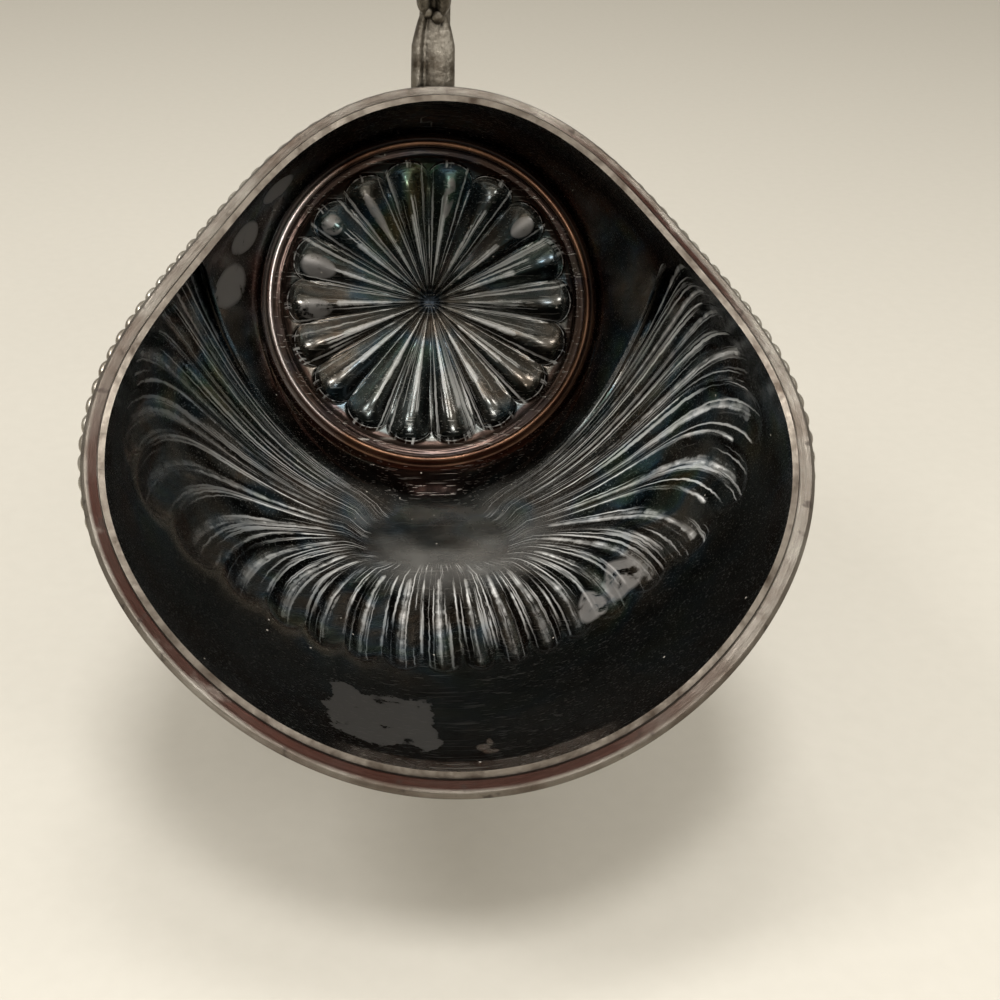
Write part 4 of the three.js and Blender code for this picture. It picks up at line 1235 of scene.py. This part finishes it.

# %% [markdown]
# On the lip the film has flaked off in a patch with ragged edges. Some round grey patches on the wall and in
# the petals are painted reflections: in the photograph these are mirrored things, but as a finish they stay
# in place under other light. A bright worn strip follows the edge of the lip. Last come dust and hair
# scratches.

# %% Flaked patch and painted grey reflections
# Each row is a place and its two radii: (along, turn) on the bowl, (stage, petal) on the plate.
BOWL_REFLECTIONS = [(0.188, -95, 0.09, 6.5), (0.175, -109.5, 0.075, 5.5), (0.16, -127, 0.06, 6),
                (0.593, 38, 0.055, 4.4), (0.613, 30, 0.045, 3.2)]
PETAL_REFLECTIONS = [(1.65, 12.6, 0.07, 0.3), (1.64, 13.65, 0.065, 0.27), (1.68, 11.55, 0.04, 0.25),
                 (1.6, 10.5, 0.09, 0.14), (1.62, 8.45, 0.08, 0.14), (1.67, 6.45, 0.05, 0.22)]
LIP_FLECKS = [(0.9, 4.6, 0.012, 0.5), (0.915, 3.4, 0.012, 1.1), (0.93, 4.4, 0.008, 1.3)]
ragged = add(tree, "TexNoise", {}, {
    "Vector": place, "Scale": lumps(5.88), "Detail": 6.0, "Roughness": 0.7})[0]
patch = add(tree, "Math", PRODUCT, {
    0: band(tree, turn, -24.0, -2.0, 3.0), 1: band(tree, along, 0.74, 0.95, 0.04)})[0]
patch = add(tree, "Math", PRODUCT_PLUS, {0: patch, 1: 0.6, 2: ragged})[0]
patch = add(tree, "MapRange", {}, {"Value": patch, 1: 0.98, 2: 1.02, 3: 0.0, 4: 1.0})[0]
base = painted(tree, base, "#8b8884", patch, 0.8)
# Painted reflections: round grey patches on the petals and the wall.
painted_reflection = add(tree, "Math", PRODUCT, {0: spots(tree, stage, flute, PETAL_REFLECTIONS), 1: on_plate})[0]
painted_reflection = add(tree, "Math", LARGER, {0: painted_reflection, 1: spots(tree, along, turn, BOWL_REFLECTIONS)})[0]
holes = add(tree, "MapRange", {}, {"Value": ragged, 1: 0.36, 2: 0.44, 3: 0.0, 4: 1.0})[0]
painted_reflection = add(tree, "Math", PRODUCT, {0: painted_reflection, 1: holes})[0]
base = painted(tree, base, "#a09b96", painted_reflection, 0.85)
lip_edge = add(tree, "Math", PRODUCT_PLUS, {0: ragged, 1: 0.03, 2: along})[0]
strip = add(tree, "Math", PRODUCT, {
    0: band(tree, lip_edge, 0.976, 9.0, 0.003), 1: band(tree, turn, -18.0, 22.0, 3.0)})[0]
strip = add(tree, "Math", LARGER, {0: strip, 1: spots(tree, along, turn, LIP_FLECKS)})[0]
base = painted(tree, base, "#e4d8cd", strip, 0.85)
print(len(BOWL_REFLECTIONS), "grey patches on the bowl and", len(PETAL_REFLECTIONS), "on the plate")

# %% Dust and hair scratches
# Specks about 0.3 mm across, in 7 of 100 cells of 2 mm.
speck = add(tree, "TexVoronoi", {}, {"Vector": place, "Scale": lumps(2.083)})
dot = add(tree, "MapRange", {}, {"Value": speck["Distance"], 1: 0.07, 2: 0.1, 3: 1.0, 4: 0.0})[0]
chance = add(tree, "SeparateColor", {}, {0: speck["Color"]})[0]
few = add(tree, "Math", {"operation": "GREATER_THAN"}, {0: chance, 1: 0.93})[0]
specks = add(tree, "Math", PRODUCT, {0: dot, 1: few})[0]
base = painted(tree, base, "#b9b2a6", specks)
# Real hair scratches are a few hundredths of a millimetre wide. They are drawn 0.35 mm wide, to show.
SCRATCH_TURNS = ((0.2, 0.1, 0.35), (0.5, 0.9, 1.3), (1.0, 0.3, 2.2))
scratches = hairlines(tree, place, SCRATCH_TURNS[0], 20, 0.35, 0.1)
for scratch_turn in SCRATCH_TURNS[1:]:
    more = hairlines(tree, place, scratch_turn, 20, 0.35, 0.1)
    scratches = add(tree, "Math", LARGER, {0: scratches, 1: more})[0]
base = painted(tree, base, "#aaa59c", scratches, 0.35)
print("dust, and scratches in", len(SCRATCH_TURNS), "directions")

# %% [markdown]
# The polished metal under the film keeps a low roughness, from 0.13 to 0.27 in smears, and everything that
# was rubbed or flaked is duller, as are the painted highlights and painted reflections. The painted highlight
# lines, laid as dried polish, the painted highlight on the seat's front, the painted reflections and the dust
# scatter light as a powder does, so there the surface is partly not a metal. The wall's waves and the
# scratches are a bump of a few hundredths of a millimetre.

# %% Gloss of the tarnished plate
smear = noise_mask(tree, place, lumps(4.17), 0.3, 0.75)
rough = add(tree, "MapRange", {}, {"Value": smear, 3: 0.13, 4: 0.27})[0]
rough = add(tree, "Math", PRODUCT_PLUS, {0: scratches, 1: 0.2, 2: rough})[0]
seat_share = add(tree, "Math", PRODUCT, {0: seat, 1: 0.6})[0]
for share, roughness in ((patch, 0.42), (painted_reflection, 0.5), (lines, 0.6), (seat_share, 0.45)):
    rough = add(tree, "Mix", NUMBER, {0: share, 2: rough, 3: roughness})[0]
powder = add(tree, "Math", PRODUCT, {0: seat, 1: 0.3})[0]
for share, amount in ((lines, 0.88), (front, 0.13), (painted_reflection, 0.28)):
    powder = add(tree, "Math", PRODUCT_PLUS, {0: share, 1: amount, 2: powder})[0]
powder = add(tree, "Math", LARGER, {0: powder, 1: specks})[0]
metal = add(tree, "Math", REST, {0: 1.0, 1: powder})[0]
wave = add(tree, "TexNoise", {}, {"Vector": place, "Scale": lumps(5.88), "Detail": 3.0})[0]
bump = add(tree, "Bump", {}, {"Height": wave, "Strength": 0.3, "Distance": 0.0004})[0]
bump = add(tree, "Bump", {"invert": True}, {
    "Height": scratches, "Strength": 0.3, "Distance": 0.00003, "Normal": bump})[0]
surface(tree, {"Base Color": base, "Metallic": metal, "Roughness": rough, "Normal": bump,
               "Specular Tint": "#c9c9c9"})
print(tarnished.name, "has", len(tree.nodes), "nodes")

# %% [markdown]
# ### The rim
# The rim's flat wire was filed and handled for a hundred years. Its film is gone, the silver is worn
# through to the copper-coloured metal in places, mostly on the left below and along the lip, and fine file
# lines run along it. Its UV map came with the grid: U runs once round the mouth from the top, and V once
# round the wire's section.

# %% Rim of worn silver plate
MOUTH_ROUND, WIRE_ROUND = 324, 12  # millimetres round the mouth and round the wire's section
FILE_LINE = (9, 0.08)  # a file line's length and width, in millimetres
rim_silver, tree = new_material("worn_rim_silver")  # to the eye a grey, lined metal with brown stains
coordinates = add(tree, "TexCoord", {}, {})
place = coordinates["Object"]
uv = add(tree, "SeparateXYZ", {}, {0: coordinates["UV"]})
u, v = uv[0], uv[1]
stain = noise_mask(tree, place, lumps(11.11), 0.35, 0.65)
base = add(tree, "Mix", COLOUR, {0: stain, 6: "#8c867c", 7: "#564b42"})[2]
# The silver is worn through on the left below and on the right above, mostly on the inner half of the face.
copper_low = add(tree, "Math", PRODUCT, {
    0: band(tree, u, 0.24, 0.6, 0.04), 1: band(tree, v, 0.03, 0.36, 0.04)})[0]
copper_right = add(tree, "Math", PRODUCT, {
    0: band(tree, u, 0.8, 0.93, 0.03), 1: band(tree, v, 0.03, 0.3, 0.04)})[0]
copper = add(tree, "Math", LARGER, {0: copper_low, 1: copper_right})[0]
copper_clouds = noise_mask(tree, place, lumps(11.11), 0.2, 0.42)
base = painted(tree, base, "#2a0f09", copper, copper_clouds, 0.95)
base = painted(tree, base, "#2e2623", noise_mask(tree, place, lumps(2.38), 0.62, 0.7, 2.0), 0.7)
# A painted highlight: a grey strip along the inner edge of the wire's face, duller than the rest.
inner_edge_highlight = band(tree, v, -1.0, 0.035, 0.012)
base = painted(tree, base, "#6a655d", inner_edge_highlight)
line_scale = (MOUTH_ROUND / FILE_LINE[0], WIRE_ROUND / FILE_LINE[1], 1.0)
line_place = add(tree, "Mapping", {}, {"Vector": coordinates["UV"], "Scale": line_scale})[0]
file_line = noise_mask(tree, line_place, 1.0, 0.35, 0.65, 3.0)
base = painted(tree, base, "#2f2a25", file_line, 0.55)
rough = add(tree, "MapRange", {}, {"Value": file_line, 3: 0.26, 4: 0.46})[0]
rough = add(tree, "Mix", NUMBER, {0: inner_edge_highlight, 2: rough, 3: 0.42})[0]
bump = add(tree, "Bump", {}, {"Height": file_line, "Strength": 0.35, "Distance": 0.00006})[0]
surface(tree, {"Base Color": base, "Metallic": 1.0, "Roughness": rough, "Normal": bump})
print(rim_silver.name, "has", len(tree.nodes), "nodes")

# %% [markdown]
# ### Outside, cut edges, ring and castings
# The outside of the bowl was polished and shows the room. The sheet's cut edges are brown and dull. The
# ring is rubbed to copper inside the bowl, and its left carries a pale painted highlight. The cast handle is
# less smooth. On all of them tarnish stays in the hollows, and ambient occlusion finds these. They differ
# only in numbers, so one function makes the four.

# %% Worn silver plate
RING_LEFT_HIGHLIGHT = (-0.016, -0.026)  # X in metres, over which the ring's left goes from copper to the painted highlight
BEHIND_SHEET = (-0.0194, -0.019)  # metres along the axis, the side of the bowl's sheet that faces out


def ring_wear(tree, place, base, silver):
    """A painted highlight on the ring's left, and polished silver where the ring is on the outside of the
    bowl.
    """
    x = add(tree, "SeparateXYZ", {}, {0: place})[0]
    left = add(tree, "MapRange", {}, {"Value": x, 1: RING_LEFT_HIGHLIGHT[0], 2: RING_LEFT_HIGHLIGHT[1], 3: 0.0, 4: 0.9})[0]
    base = painted(tree, base, silver, left)
    along = add(tree, "VectorMath", {"operation": "DOT_PRODUCT"}, {0: place, 1: back_axis})["Value"]
    behind = add(tree, "MapRange", {}, {
        "Value": along, 1: BEHIND_SHEET[0], 2: BEHIND_SHEET[1], 3: 1.0, 4: 0.0})[0]
    return painted(tree, base, "#b3afa5", behind)


def worn_silver(name, clean, stain, rough_range, hollow, cloud_mm=16.67, pitted=0.2, left_highlight=None):
    """Silver plate with stains in clouds and dark tarnish in its hollows. Pitted is how uneven it is."""
    material, tree = new_material(name)
    place = add(tree, "TexCoord", {}, {})["Object"]
    clouds = noise_mask(tree, place, lumps(cloud_mm), 0.42, 0.68, 6.0)
    base = add(tree, "Mix", COLOUR, {0: clouds, 6: clean, 7: stain})[2]
    if left_highlight:
        base = ring_wear(tree, place, base, left_highlight)
    open_air = add(tree, "AmbientOcclusion", {"samples": 8}, {"Distance": 0.002})["AO"]
    hidden = add(tree, "MapRange", {}, {"Value": open_air, 1: 0.5, 2: 0.9, 3: 1.0, 4: 0.0})[0]
    base = painted(tree, base, hollow, hidden, 0.9)
    fine = add(tree, "TexNoise", {}, {"Vector": place, "Scale": lumps(1.111), "Detail": 4.0})[0]
    scratch = hairlines(tree, place, (0.4, 0.2, 0.6), 15, 0.3, 0.12)
    rough = add(tree, "MapRange", {}, {
        "Value": fine, 1: 0.3, 2: 0.7, 3: rough_range[0], 4: rough_range[1]})[0]
    rough = add(tree, "Math", PRODUCT_PLUS, {0: scratch, 1: 0.15, 2: rough})[0]
    bump = add(tree, "Bump", {}, {"Height": fine, "Strength": pitted, "Distance": 0.0005 * pitted})[0]
    surface(tree, {"Base Color": base, "Metallic": 1.0, "Roughness": rough, "Normal": bump})
    print(name, "has", len(tree.nodes), "nodes")
    return material


# To the eye: a soft bright mirror, a dull brown edge, a reddish band with a painted highlight on its left,
# and a satin grey that is dark in its folds.
outside_silver = worn_silver("polished_silver_plate", "#b3afa5", "#857c70", (0.2, 0.36), "#2c2620")
edge_silver = worn_silver("worn_sheet_edge", "#787066", "#453c34", (0.36, 0.55), "#1a1512", 3.33, 0.5)
ring_silver = worn_silver("copper_worn_silver", "#85634d", "#3c2923", (0.26, 0.42), "#231814",
                          left_highlight="#dccfc8")
cast_silver = worn_silver("cast_silver_plate", "#726c62", "#3d362d", (0.3, 0.55), "#17120c", 3.846, 0.8)

# %% Give out the materials
FINISHES = {"mouth_mount_wire": rim_silver, "back_ring_moulding": ring_silver}
CASTINGS = ("scroll_handle", "front_leaf_casting", "rear_leaf_casting", "notch_front_bead", "notch_rear_bead")
for name in CASTINGS:
    FINISHES[name] = cast_silver
for piece in (bowl, plate):
    for material in (tarnished, outside_silver, edge_silver):
        piece.data.materials.append(material)
for piece in bpy.context.scene.objects:
    if piece.type == "MESH" and not piece.data.materials and not piece.hide_render:
        piece.data.materials.append(FINISHES.get(piece.name, outside_silver))
print("materials given to", len(FINISHES) + 2, "pieces by name, the polished silver to the rest")

# %% [markdown]
# ## Floor and light
# The scuttle stands on a plain pale table that is large enough to fill the view from every side. Polished
# metal shows little but what it mirrors, so the light is a ring of small soft boxes high above and at both
# sides, whose mirrored shapes draw thin lines on the flutes, in a pale room. Together they are as bright as
# lets a colour render about as it is written, and the table stays just under white.

# %% Floor
deselect()
bpy.ops.mesh.primitive_plane_add(size=24)
floor = bpy.context.object
floor.name = "table_top"
table_paint, tree = new_material("pale_table")  # to the eye a matt cream top with a faint grain of 3 mm
place = add(tree, "TexCoord", {}, {})["Object"]
grain = add(tree, "TexNoise", {}, {"Vector": place, "Scale": lumps(3.333), "Detail": 4.0})[0]
tone = add(tree, "Mix", COLOUR, {0: grain, 6: "#c0bbb0", 7: "#bab5aa"})[2]
surface(tree, {"Base Color": tone, "Roughness": 0.55})
floor.data.materials.append(table_paint)
print("table top", round(floor.dimensions.x), "m wide")

# %% Lights
LIT_PLACE = Vector((0, 0, 0.06))  # what the lamps look at, in metres


def lamp(name, azimuth, elevation, distance, size, radiance, colour="#ffffff"):
    """A soft box that looks at the object. Azimuth 0 is in front of the mouth, and positive to the right."""
    a, e = radians(azimuth), radians(elevation)
    way = Vector((sin(a) * cos(e), -cos(a) * cos(e), sin(e)))
    bpy.ops.object.light_add(type="AREA", location=LIT_PLACE + way * distance)
    light = bpy.context.object
    light.name = name
    light.rotation_euler = way.to_track_quat("Z", "Y").to_euler()
    light.data.shape, light.data.size, light.data.size_y = "RECTANGLE", size[0], size[1]
    light.data.energy, light.data.color = radiance * pi * size[0] * size[1], hex_colour(colour)[:3]
    light.visible_camera = False
    print(name, "gives", round(light.data.energy, 2), "W")


lamp("overhead_soft_box", 0, 68, 0.8, (0.22, 0.22), 22.5)
lamp("ceiling_light", 180, 82, 0.8, (0.22, 0.22), 10.8)
lamp("left_side_box", -80, 50, 0.8, (0.2, 0.2), 18)
lamp("right_side_box", 80, 50, 0.8, (0.2, 0.2), 4.8)
lamp("right_window", 35, 28, 0.8, (0.16, 0.16), 18.5)
lamp("left_lamp", -35, 12, 0.8, (0.16, 0.12), 15.5)
lamp("above_camera", 0, 30, 0.8, (0.16, 0.12), 12.3)
lamp("low_reflector", 9, 14, 0.5, (0.07, 0.09), 4.8, "#efe9e2")

# %% Room
world = bpy.data.worlds.new("room")
bpy.context.scene.world = world
world.use_nodes = True
room_light = world.node_tree.nodes["Background"].inputs
room_light["Color"].default_value = hex_colour("#e8e2d6")
room_light["Strength"].default_value = 0.78
bpy.context.scene.view_settings.view_transform = "Standard"
print("room light", round(room_light["Strength"].default_value, 2))
